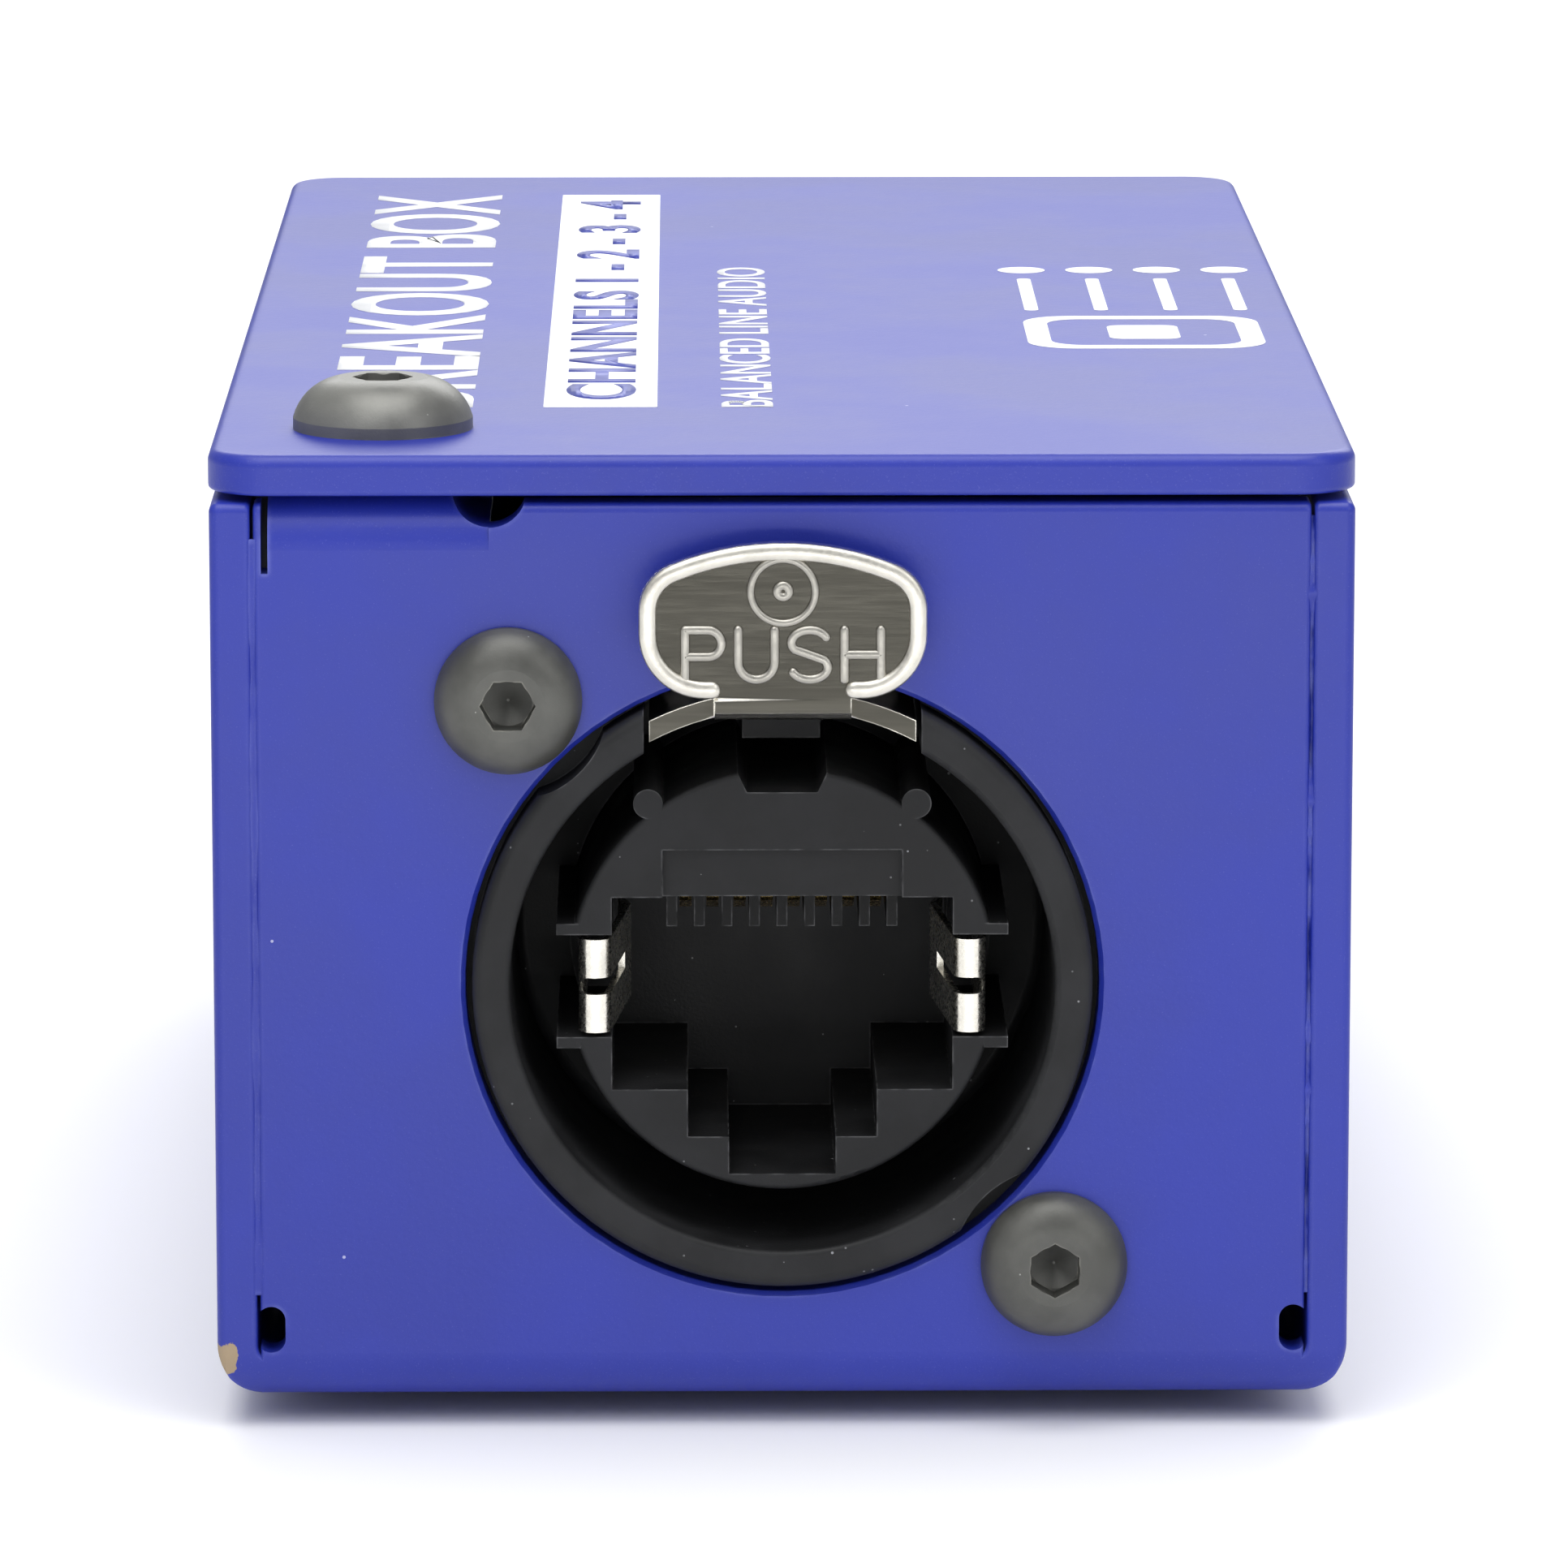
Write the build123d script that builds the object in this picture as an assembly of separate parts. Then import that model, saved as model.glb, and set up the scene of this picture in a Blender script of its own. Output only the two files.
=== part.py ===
from build123d import *
import math
import os

# Four-channel breakout box: a folded steel tray and lid, a locking data socket in the front wall
# and a cable gland in the rear wall. Millimetres. X is to the right seen from the front, the front
# wall faces -Y and Z is up. The origin is the centre of the underside of the rubber base pad.

# ---- case ----------------------------------------------------------------------------------------
case_width = 42.0           # over the side walls
case_depth = 84.0           # front wall to rear wall, outside faces
case_height = 35.6          # underside of the tray to the top of the lid
sheet = 1.5                 # steel sheet of tray and lid
side_bend_radius = 2.2      # outside of the long bends along the floor
end_bend_radius = 1.9       # outside of the bends below the end walls
inner_bend_radius = 0.7
seam_gap = 0.12             # between an end wall and the side wall beside it
lid_gap = 0.28              # from the top of the walls to the lid
lid_overhang = 0.1          # lid past the walls, all round
lid_corner_radius = 2.3
lid_edge_radius = 0.45      # rounding of the lid's upper edge
sheet_edge_radius = 0.35    # wear and paint rounding of sheared edges
seam_edge_radius = 0.18     # the same beside a seam and round the socket's hole
corner_hole_width = 1.05    # bend relief at the foot of each end wall seam
corner_hole_height = 1.75
corner_hole_rise = 2.8      # hole centre above the tray's underside

pad_thickness = 1.0
pad_side_inset = 4.0
pad_end_inset = 6.0
pad_corner_radius = 3.0

# ---- lid screw, its tab and the hook at the rear -------------------------------------------------
lid_screw_from_side = 6.2   # screw axis to the outside of the left wall
lid_screw_from_front = 7.1
lid_screw_head_radius = 3.35
lid_screw_head_height = 1.9
lid_screw_radius = 1.7
lid_screw_length = 7.0
lid_screw_key = 2.0         # across flats of the hexagon socket
tab_width = 8.1
tab_end_margin = 4.4        # tab past the screw axis
tab_bend_radius = 2.0
tab_slit = 0.25             # cut between the tab and the left end of the wall
tab_slit_depth = 2.6
notch_radius = 1.4          # half-round relief on the tab's other side
notch_rise = 0.5            # notch centre above the top of the wall
screw_hole_clearance = 0.15
clinch_nut_radius = 3.4
clinch_nut_height = 2.6

hook_width = 12.0
hook_thickness = 1.2
hook_drop = 3.6             # lid's underside to the foot of the hook
hook_clearance = 0.2

# ---- data socket ---------------------------------------------------------------------------------
socket_height = 15.9        # axis above the tray's underside
barrel_bore_radius = 10.05
barrel_wall = 1.4
panel_clearance = 0.25      # round the barrel, in the front wall
barrel_proud = 0.5          # rim of the barrel in front of the wall
barrel_depth = 14.0         # front wall's face to the back of the barrel
rim_outer_radius = 0.45     # rounding of the rim
rim_inner_radius = 0.25
back_lip = 2.0              # wall at the back of the barrel that holds the insert
flange_thickness = 2.0
flange_width = 26.0
flange_height = 26.4
flange_corner_radius = 2.0
fastener_x = 10.07          # connector screws, upper left and lower right of the axis
fastener_z = 10.62
scallop_radius = 3.7        # clearance for the screw head in the barrel's rim
hood_width = 13.2
hood_sink = 2.0             # foot of the latch housing below the top of the bore
hood_headroom = 3.35        # latch plate to the top of the housing
hood_depth = 9.5
hood_roof = 1.8
latch_slot_width = 10.2
spring_pocket_radius = 1.6
spring_pocket_height = 1.0
boss_x = 10.0               # board posts, upper right and lower left of the axis
boss_z = 10.4
boss_radius = 2.0
key_rib_width = 2.9
key_rib_height = 1.2
key_rib_gap = 0.35          # insert to the rib
key_rib_front = 5.0

# jack insert, heights measured from the socket's axis
insert_radius = 7.95
insert_clearance = 0.05     # in the hole of the barrel's back lip
insert_front = 0.6          # face of the insert behind the front wall's face
shoulder_radius = 9.3
shoulder_thickness = 1.6
cavity_width = 12.6
cavity_top = 3.1
cavity_bottom = -4.14
cavity_depth = 12.0
latch_step_width = 7.0
latch_step_bottom = -5.93
latch_slot2_width = 3.95
latch_slot2_bottom = -7.34
face_recess_width = 8.85
face_recess_top = 4.88
face_recess_depth = 0.3
key_notch_top_width = 3.35
key_notch_foot_width = 2.6
key_notch_bottom = 7.05
bump_radius = 0.55
bump_x = 4.95
bump_z = 6.62
window_top = 1.7
window_bottom = -2.15
window_depth = 9.4
lug_reach = 8.35
lug_height = 0.42

spring_band_height = 3.5
spring_band_sheet = 0.25
spring_roll_radius = 0.6    # outside of the rolled front of a shield spring
spring_roll_x = 6.92
spring_leaf_x = 5.75        # tip of the leaf that presses on the plug
spring_leaf_depth = 7.5
spring_slot_height = 0.62

contact_count = 8
contact_pitch = 1.02
contact_width = 0.45
contact_thickness = 0.35
contact_rail_z = 2.45       # straight run of each contact, above the axis
contact_bend_depth = 7.4
contact_bend_drop = 0.55     # rail to the start of the free end
contact_tip_depth = 10.2
contact_tip_z = 1.05
contact_tail = 1.0          # past the back of the board

carrier_width = 9.6
carrier_bottom = 1.6
carrier_front = 10.6
comb_front = 2.0            # teeth between the contacts
comb_tooth = 0.4
comb_bottom = 1.75
housing_width = 15.0
housing_bottom = -5.0
housing_top = 5.0

board_depth = 20.0          # board's front face behind the front wall's face
board_thickness = 1.6
board_width = 31.0
board_height = 25.6
board_screw_radius = 1.0
board_screw_head_radius = 1.9
board_screw_head_height = 1.2
board_screw_length = 6.0

header_columns = 5
header_rows = 2
header_pitch = 2.54
header_wall = 1.6
header_depth = 8.5
header_floor = 1.5
header_z = -7.0
header_pin = 0.64
header_pin_out = 6.0
header_pin_tail = 1.2
pin_hole_clearance = 0.08

# ---- latch ---------------------------------------------------------------------------------------
latch_sheet = 0.7
latch_lift = 0.3            # top of the bore to the underside of the plate
latch_plate_width = 9.8
latch_front = 0.4           # wings in front of the wall's face
latch_neck_width = 5.0
latch_neck_drop = 0.95      # outside of the plate to the underside of the neck
latch_tab_width = 10.54
latch_tab_height = 5.76
latch_tab_rise = 0.9        # underside of the neck to the foot of the tab
latch_tab_corner = 2.4      # lower corners
latch_tab_shoulder = 1.8    # corners beside the crown
latch_tab_crown = 10.9
latch_tab_standoff = 1.45   # wall's face to the back of the tab
latch_bend_radius = 1.0
latch_rim = 0.65
latch_recess = 0.15
pivot_depth = 8.6
pivot_rise = 0.25           # pivot's axis outside the plate
pivot_pin_radius = 0.6
pivot_clearance = 0.05
eye_radius = 1.0
eye_width = 4.6
hook_tooth_width = 2.8
hook_tooth_front = 1.8
hook_tooth_length = 1.0
hook_tooth_drop = 1.3       # outside of the plate to the tooth's tip
coil_radius = 1.05          # middle of the wire
coil_wire = 0.15            # radius of the wire
coil_turns = 4
coil_depth = 5.0

# ---- fasteners of the socket ---------------------------------------------------------------------
socket_screw_head_radius = 2.72
socket_screw_head_height = 1.35
socket_screw_radius = 1.42
socket_screw_length = 8.0
socket_screw_key = 1.78
socket_screw_clearance = 0.13
socket_nut_flats = 5.5
socket_nut_height = 2.4

earth_tag_clearance = 0.1   # tag's ring to the barrel
earth_tag_thickness = 0.5
earth_tag_reach = 4.6       # screw axis to the crimp barrel's axis
crimp_radius = 1.15
crimp_length = 4.0
wire_radius = 0.65
wire_drop = 4.2

# ---- cable gland ---------------------------------------------------------------------------------
gland_height = 16.5         # axis above the tray's underside
gland_thread_radius = 8.0
gland_hole_clearance = 0.1
gland_flats = 20.0
gland_flange = 5.0
gasket_radius = 9.8
gasket_thickness = 1.0
locknut_flats = 21.0
locknut_height = 4.5
gland_thread_inside = 8.0   # thread behind the rear wall's inner face
gland_neck_radius = 7.6
gland_neck_length = 6.5
gland_passage_radius = 5.3
seal_radius = 6.4
cable_radius = 5.0
seal_length = 8.0
cap_length = 12.0
cap_mouth_radius = 5.4
cap_nose_radius = 7.0

# ---- places that follow from the sizes above -----------------------------------------------------
tray_floor = pad_thickness
floor_top = tray_floor + sheet
lid_top = tray_floor + case_height
lid_under = lid_top - sheet
wall_top = lid_under - lid_gap
half_width = case_width / 2
front_y = -case_depth / 2
rear_y = case_depth / 2
inner_half = half_width - sheet
end_wall_half = inner_half - seam_gap
lid_screw_x = -half_width + lid_screw_from_side
lid_screw_y = front_y + lid_screw_from_front
socket_z = tray_floor + socket_height
gland_z = tray_floor + gland_height
flange_back = sheet + flange_thickness
shoulder_back = barrel_depth + shoulder_thickness
contact_xs = [(i - (contact_count - 1) / 2) * contact_pitch for i in range(contact_count)]
barrel_radius = barrel_bore_radius + barrel_wall
panel_hole_radius = barrel_radius + panel_clearance
earth_tag_radius = math.hypot(fastener_x, fastener_z) - barrel_radius - earth_tag_clearance
key_rib_bottom = insert_radius + key_rib_gap
latch_outer_radius = barrel_bore_radius + latch_lift + latch_sheet
latch_neck_bottom = latch_outer_radius - latch_neck_drop
latch_tab_bottom = latch_neck_bottom + latch_tab_rise
hook_tooth_bottom = latch_outer_radius - hook_tooth_drop
pivot_z = latch_outer_radius + pivot_rise
hood_bottom = barrel_bore_radius - hood_sink
hood_top = latch_outer_radius + hood_headroom
hood_inner_top = hood_top - hood_roof


def block(x0, x1, y0, y1, z0, z1):
    """A rectangular block between two opposite corners."""
    return Pos((x0 + x1) / 2, (y0 + y1) / 2, (z0 + z1) / 2) * Box(x1 - x0, y1 - y0, z1 - z0)


def rod_x(radius, x0, x1, y, z):
    return Pos((x0 + x1) / 2, y, z) * Rot(0, 90, 0) * Cylinder(radius, x1 - x0)


def rod_y(radius, y0, y1, x, z):
    return Pos(x, (y0 + y1) / 2, z) * Rot(90, 0, 0) * Cylinder(radius, y1 - y0)


def rod_z(radius, z0, z1, x, y):
    return Pos(x, y, (z0 + z1) / 2) * Cylinder(radius, z1 - z0)


def turned(corners, x=0.0, y=0.0, z=0.0):
    """A ring or disc about the Y axis from corners (radius, depth, rounding)."""
    outline = FilletPolyline(
        *[(radius, depth) for radius, depth, _ in corners],
        radius=[rounding for _, _, rounding in corners],
        close=True,
    )
    return Pos(x, y, z) * revolve(make_face(outline), Axis.Y)


def at_socket(shape):
    """Puts a shape drawn with the socket's axis as Y and the wall's face at y = 0 in its place."""
    return Pos(0, front_y, socket_z) * shape


def hexagon(flats, height):
    """A hexagonal prism on the XY plane, standing in +Z, with two corners on X."""
    return extrude(RegularPolygon(flats / 2, 6, major_radius=False), height)


def button_screw(head_radius, head_height, radius, length, key):
    """A button-head screw with a hexagon socket, head on the XY plane and shank down -Z."""
    brim = head_height * 0.22
    crown = head_radius * 0.5
    bulge = (head_radius * 0.84, brim + (head_height - brim) * 0.62)
    tip = radius * 0.25
    outline = [
        Line((0, -length), (radius - tip, -length)),
        Line((radius - tip, -length), (radius, tip - length)),
        Line((radius, tip - length), (radius, 0)),
        Line((radius, 0), (head_radius, 0)),
        Line((head_radius, 0), (head_radius, brim)),
        ThreePointArc((head_radius, brim), bulge, (crown, head_height)),
        Line((crown, head_height), (0, head_height)),
        Line((0, head_height), (0, -length)),
    ]
    screw = Rot(90, 0, 0) * revolve(make_face(outline), Axis.Y)
    socket_depth = head_height * 0.72
    pocket = Pos(0, 0, head_height - socket_depth) * hexagon(key, socket_depth + 1)
    cone = Pos(0, 0, head_height - socket_depth - key / 8) * Cone(0.05, key / 2, key / 4)
    mouth = Pos(0, 0, head_height) * Cone(key * 0.42, key * 0.62, key * 0.3)
    return screw - pocket - cone - mouth


# ---- case ----------------------------------------------------------------------------------------
def corner_hole(side):
    """Bend relief at the foot of a seam, as a cutter right through along Y."""
    slot = SlotOverall(corner_hole_height, corner_hole_width, rotation=90)
    x = side * (end_wall_half - corner_hole_width / 2 + seam_gap)
    return Pos(x, 0, tray_floor + corner_hole_rise) * extrude(Plane.XZ * slot, case_depth, both=True)


def end_wall(y_out, inward):
    """One end wall, standing on the floor; inward is +1 for the front wall and -1 for the rear."""
    y_in = y_out + inward * sheet
    y_low, y_high = sorted((y_out, y_in))
    wall = block(-end_wall_half, end_wall_half, y_low, y_high, tray_floor, wall_top)
    face_edges = wall.faces().sort_by(Axis.Y)[0 if inward > 0 else -1].edges()
    wall = fillet(face_edges.group_by(Axis.Z)[-1], sheet_edge_radius)
    face_edges = wall.faces().sort_by(Axis.Y)[0 if inward > 0 else -1].edges()
    wall = fillet(face_edges.filter_by(Axis.Z), seam_edge_radius)
    web_y = sorted((y_in, y_in + inward * inner_bend_radius))
    web = block(-end_wall_half, end_wall_half, *web_y, floor_top, floor_top + inner_bend_radius)
    web -= rod_x(inner_bend_radius, -case_width, case_width,
                 y_in + inward * inner_bend_radius, floor_top + inner_bend_radius)
    return wall + web


def end_bend_cut(y_out, inward):
    """What the rounded bend below an end wall takes off the square corner, over the full width."""
    reach = end_bend_radius
    half = half_width + 1
    y_low, y_high = sorted((y_out, y_out + inward * reach))
    corner = block(-half, half, y_low, y_high, tray_floor, tray_floor + reach)
    return corner - rod_x(reach, -case_width, case_width, y_out + inward * reach, tray_floor + reach)


def screw_tab():
    """The tab bent in from the top of the front wall, which carries the lid screw."""
    x1 = lid_screw_x + tab_width / 2
    x0 = lid_screw_x - tab_width / 2
    tab_end = lid_screw_y + tab_end_margin
    side = make_face(FilletPolyline(
        (front_y, wall_top - tab_slit_depth), (front_y, lid_under), (tab_end, lid_under),
        (tab_end, lid_under - sheet), (front_y + sheet, lid_under - sheet),
        (front_y + sheet, wall_top - tab_slit_depth),
        radius=[0, tab_bend_radius, 0, 0, tab_bend_radius - sheet, 0], close=True))
    return extrude(Pos(x0, 0, 0) * (Plane.YZ * side), x1 - x0)


def case_tray():
    channel = block(-half_width, half_width, front_y, rear_y, tray_floor, wall_top)
    low = channel.edges().filter_by(Axis.Y).group_by(Axis.Z)[0]
    channel = fillet(low, side_bend_radius)
    channel = fillet(channel.edges().filter_by(Axis.Z), sheet_edge_radius)
    channel = fillet(channel.faces().sort_by(Axis.Z)[-1].edges(), sheet_edge_radius)
    inside = block(-inner_half, inner_half, front_y - 1, rear_y + 1, floor_top, wall_top + 1)
    inside = fillet(inside.edges().filter_by(Axis.Y).group_by(Axis.Z)[0], inner_bend_radius)
    tray = channel - inside
    mouth = [edge for edge in tray.edges().filter_by(Axis.Z)
             if abs(abs(edge.center().X) - inner_half) < 0.01]
    tray = fillet(mouth, seam_edge_radius)
    for y_out, inward in ((front_y, 1), (rear_y, -1)):
        tray = tray + end_wall(y_out, inward) - end_bend_cut(y_out, inward)
    x0 = lid_screw_x - tab_width / 2
    x1 = lid_screw_x + tab_width / 2
    tab_space = block(x0 - tab_slit, x1, front_y - 1, front_y + sheet + 1,
                      wall_top - tab_slit_depth, wall_top + 1)
    tray = tray - tab_space + screw_tab()
    tray -= rod_y(notch_radius, front_y - 1, lid_screw_y, x1, wall_top + notch_rise)
    tray -= rod_z(lid_screw_radius + screw_hole_clearance, wall_top - 4, lid_top, lid_screw_x, lid_screw_y)
    for side in (-1, 1):
        tray -= corner_hole(side)
    tray -= at_socket(turned([
        (0, -1, 0), (panel_hole_radius + seam_edge_radius, -1, 0),
        (panel_hole_radius + seam_edge_radius, 0, 0), (panel_hole_radius, seam_edge_radius, 0.1),
        (panel_hole_radius, sheet + 1, 0), (0, sheet + 1, 0)]))
    for x, z in ((-fastener_x, fastener_z), (fastener_x, -fastener_z)):
        tray -= rod_y(socket_screw_radius + socket_screw_clearance, front_y - 1, front_y + sheet + 1,
                      x, socket_z + z)
    tray -= rod_y(gland_thread_radius + gland_hole_clearance, rear_y - sheet - 1, rear_y + 1, 0, gland_z)
    slot_low = lid_under - hook_drop - hook_clearance
    slot_half = hook_width / 2 + hook_clearance
    tray -= block(-slot_half, slot_half, rear_y - sheet - 1, rear_y + 1,
                  slot_low, slot_low + hook_thickness + 2 * hook_clearance)
    return tray


def lid():
    over = lid_overhang
    plate = block(-half_width - over, half_width + over, front_y - over, rear_y + over, lid_under, lid_top)
    plate = fillet(plate.edges().filter_by(Axis.Z), lid_corner_radius)
    plate = fillet(plate.faces().sort_by(Axis.Z)[-1].edges(), lid_edge_radius)
    plate = fillet(plate.faces().sort_by(Axis.Z)[0].edges(), sheet_edge_radius / 2)
    plate -= rod_z(lid_screw_radius + screw_hole_clearance, lid_under - 1, lid_top + 1,
                   lid_screw_x, lid_screw_y)
    half = hook_width / 2
    back = rear_y - sheet - hook_clearance
    leg = block(-half, half, back - hook_thickness, back, lid_under - hook_drop, lid_under)
    toe = block(-half, half, back - hook_thickness, rear_y - hook_clearance,
                lid_under - hook_drop, lid_under - hook_drop + hook_thickness)
    return plate + leg + toe


def lid_screw():
    screw = button_screw(lid_screw_head_radius, lid_screw_head_height, lid_screw_radius,
                         lid_screw_length, lid_screw_key)
    return Pos(lid_screw_x, lid_screw_y, lid_top) * screw


def lid_clinch_nut():
    top = lid_under - sheet
    nut = rod_z(clinch_nut_radius, top - clinch_nut_height, top, lid_screw_x, lid_screw_y)
    nut = chamfer(nut.edges().group_by(Axis.Z)[0], 0.3)
    return nut - rod_z(lid_screw_radius, top - clinch_nut_height - 1, top + 1, lid_screw_x, lid_screw_y)


def base_pad():
    half = half_width - pad_side_inset
    pad = block(-half, half, front_y + pad_end_inset, rear_y - pad_end_inset, 0, pad_thickness)
    pad = fillet(pad.edges().filter_by(Axis.Z), pad_corner_radius)
    return chamfer(pad.faces().sort_by(Axis.Z)[0].edges(), 0.2)


# ---- data socket ---------------------------------------------------------------------------------
def connector_shell():
    lip_front = barrel_depth - back_lip
    barrel = turned([
        (barrel_bore_radius, -barrel_proud, rim_inner_radius),
        (barrel_radius, -barrel_proud, rim_outer_radius),
        (barrel_radius, barrel_depth, 0),
        (insert_radius + insert_clearance, barrel_depth, 0),
        (insert_radius + insert_clearance, lip_front, 0),
        (barrel_bore_radius, lip_front, 0.4),
    ])
    flange = block(-flange_width / 2, flange_width / 2, sheet, flange_back,
                   -flange_height / 2, flange_height / 2)
    flange = fillet(flange.edges().filter_by(Axis.Y), flange_corner_radius)
    hood = block(-hood_width / 2, hood_width / 2, flange_back, flange_back + hood_depth,
                 hood_bottom, hood_top)
    hood = fillet(hood.edges().filter_by(Axis.Y).group_by(Axis.Z)[-1], 1.0)
    bore = rod_y(barrel_bore_radius, -barrel_proud, lip_front, 0, 0)
    shell = barrel + (flange - bore) + (hood - bore)
    for x, z in ((boss_x, boss_z), (-boss_x, -boss_z)):
        shell += rod_y(boss_radius, sheet, board_depth, x, z)
        shell -= rod_y(board_screw_radius, board_depth - board_screw_length, board_depth + 1, x, z)
    channel_back = pivot_depth + eye_radius + 0.9
    channel = block(-latch_slot_width / 2, latch_slot_width / 2, -barrel_proud - 1, channel_back,
                    barrel_bore_radius - 2, hood_inner_top)
    shell -= channel
    shell -= rod_z(spring_pocket_radius, hood_inner_top - 1, hood_inner_top + spring_pocket_height,
                   0, coil_depth)
    shell -= rod_x(pivot_pin_radius, -hood_width, hood_width, pivot_depth, pivot_z)
    shell += block(-key_rib_width / 2, key_rib_width / 2, key_rib_front, lip_front,
                   key_rib_bottom, key_rib_bottom + key_rib_height)
    for x, z in ((-fastener_x, fastener_z), (fastener_x, -fastener_z)):
        shell -= rod_y(socket_screw_radius + socket_screw_clearance, 0, flange_back + 1, x, z)
        shell -= rod_y(scallop_radius, -barrel_proud - 1, sheet, x, z)
    return at_socket(shell)


def shield_window(side):
    x = sorted((side * (cavity_width / 2 - 0.3), side * (lug_reach + 1)))
    return block(*x, insert_front - 1, insert_front + window_depth, window_bottom, window_top)


def jack_insert():
    body = turned([
        (0, insert_front, 0),
        (insert_radius, insert_front, 0.2),
        (insert_radius, barrel_depth, 0),
        (shoulder_radius, barrel_depth, 0),
        (shoulder_radius, shoulder_back, 0.3),
        (0, shoulder_back, 0),
    ])
    for side in (-1, 1):
        body += rod_y(bump_radius, insert_front, barrel_depth - back_lip, side * bump_x, bump_z)
        x = sorted((side * (insert_radius - 0.5), side * lug_reach))
        for z in (window_top, window_bottom - lug_height):
            body += block(*x, insert_front, barrel_depth - back_lip, z, z + lug_height)
        body -= shield_window(side)
    back = insert_front + cavity_depth
    half = cavity_width / 2
    body -= block(-half, half, -1, back, cavity_bottom, cavity_top)
    half = latch_step_width / 2
    body -= block(-half, half, -1, back, latch_step_bottom, cavity_bottom + 1)
    half = latch_slot2_width / 2
    body -= block(-half, half, -1, back, latch_slot2_bottom, cavity_bottom + 1)
    half = face_recess_width / 2
    body -= block(-half, half, -1, insert_front + face_recess_depth, cavity_top - 0.1, face_recess_top)
    notch = make_face(Polyline(
        (-key_notch_foot_width / 2, key_notch_bottom), (key_notch_foot_width / 2, key_notch_bottom),
        (key_notch_top_width / 2 + 0.2, insert_radius + 0.3),
        (-key_notch_top_width / 2 - 0.2, insert_radius + 0.3), close=True))
    body -= extrude(Plane.XZ * notch, barrel_depth - back_lip, both=True)
    body -= block(-carrier_width / 2, carrier_width / 2, back - 1, shoulder_back + 1,
                  carrier_bottom, cavity_top)
    return at_socket(body)


def contact_path():
    """Middle line of a contact in the plane of depth and height: tail, rail, bend and free end."""
    tail = board_depth + board_thickness + contact_tail
    return FilletPolyline(
        (0, tail, contact_rail_z), (0, contact_bend_depth, contact_rail_z),
        (0, contact_bend_depth - 0.2, contact_rail_z - contact_bend_drop), (0, contact_tip_depth, contact_tip_z),
        radius=[0.2, 0.2])


def jack_contacts():
    path = contact_path()
    section = Plane(origin=path @ 0, x_dir=(1, 0, 0), z_dir=path % 0)
    contact = sweep(section * Rectangle(contact_width, contact_thickness), path=path)
    return at_socket(Compound(children=[Pos(x, 0, 0) * contact for x in contact_xs]))


def contact_rail_holes(depth0, depth1, clearance):
    """Cutters round the straight run of every contact."""
    across = contact_width / 2 + clearance
    high = contact_thickness / 2 + clearance
    return [block(x - across, x + across, depth0, depth1, contact_rail_z - high, contact_rail_z + high)
            for x in contact_xs]


def contact_carrier():
    nose = block(-carrier_width / 2, carrier_width / 2, carrier_front, shoulder_back,
                 carrier_bottom, cavity_top)
    house = block(-housing_width / 2, housing_width / 2, shoulder_back, board_depth,
                  housing_bottom, housing_top)
    house = chamfer(house.edges().filter_by(Axis.Y), 0.6)
    carrier = nose + house
    for hole in contact_rail_holes(carrier_front - 1, board_depth + 1, 0):
        carrier -= hole
    for i in range(contact_count + 1):
        x = contact_xs[0] + (i - 0.5) * contact_pitch
        carrier += block(x - comb_tooth / 2, x + comb_tooth / 2, comb_front, carrier_front,
                         comb_bottom, cavity_top)
    return at_socket(carrier)


def shield_spring(side):
    """A rolled contact spring: rear leg, rolled front and a leaf slanting into the cavity."""
    mid = spring_roll_radius - spring_band_sheet / 2
    leg_x = spring_roll_x + mid
    roll_y = insert_front + spring_roll_radius - 0.1
    path = [
        Line((leg_x, insert_front + window_depth), (leg_x, roll_y)),
        ThreePointArc((leg_x, roll_y), (spring_roll_x, roll_y - mid), (spring_roll_x - mid, roll_y)),
        Line((spring_roll_x - mid, roll_y), (spring_leaf_x, spring_leaf_depth)),
        Line((spring_leaf_x, spring_leaf_depth), (spring_leaf_x + 0.25, spring_leaf_depth + 1.2)),
    ]
    middle = (window_top + window_bottom) / 2
    band = extrude(trace(path, spring_band_sheet), spring_band_height)
    band = Pos(0, 0, middle - spring_band_height / 2) * band
    slot_end = spring_roll_x + mid / 2
    half = spring_slot_height / 2
    band -= block(0, slot_end, -1, spring_leaf_depth - 2, middle - half, middle + half)
    band -= rod_y(half, -1, spring_leaf_depth - 2, slot_end, middle)
    if side < 0:
        band = mirror(band, Plane.YZ)
    return at_socket(band)


def circuit_board():
    half = board_width / 2
    back = board_depth + board_thickness
    board = block(-half, half, board_depth, back, -board_height / 2, board_height / 2)
    board = fillet(board.edges().filter_by(Axis.Y), 1.0)
    for hole in contact_rail_holes(board_depth - 1, back + 1, pin_hole_clearance):
        board -= hole
    for x, z in header_spots():
        board -= rod_y(header_pin * 0.72 + pin_hole_clearance, board_depth - 1, back + 1, x, z)
    for x, z in ((boss_x, boss_z), (-boss_x, -boss_z)):
        board -= rod_y(board_screw_radius + 0.1, board_depth - 1, back + 1, x, z)
    board -= rod_y(wire_radius, board_depth - 1, back + 1, wire_x(), fastener_z - wire_drop)
    return at_socket(board)


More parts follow.
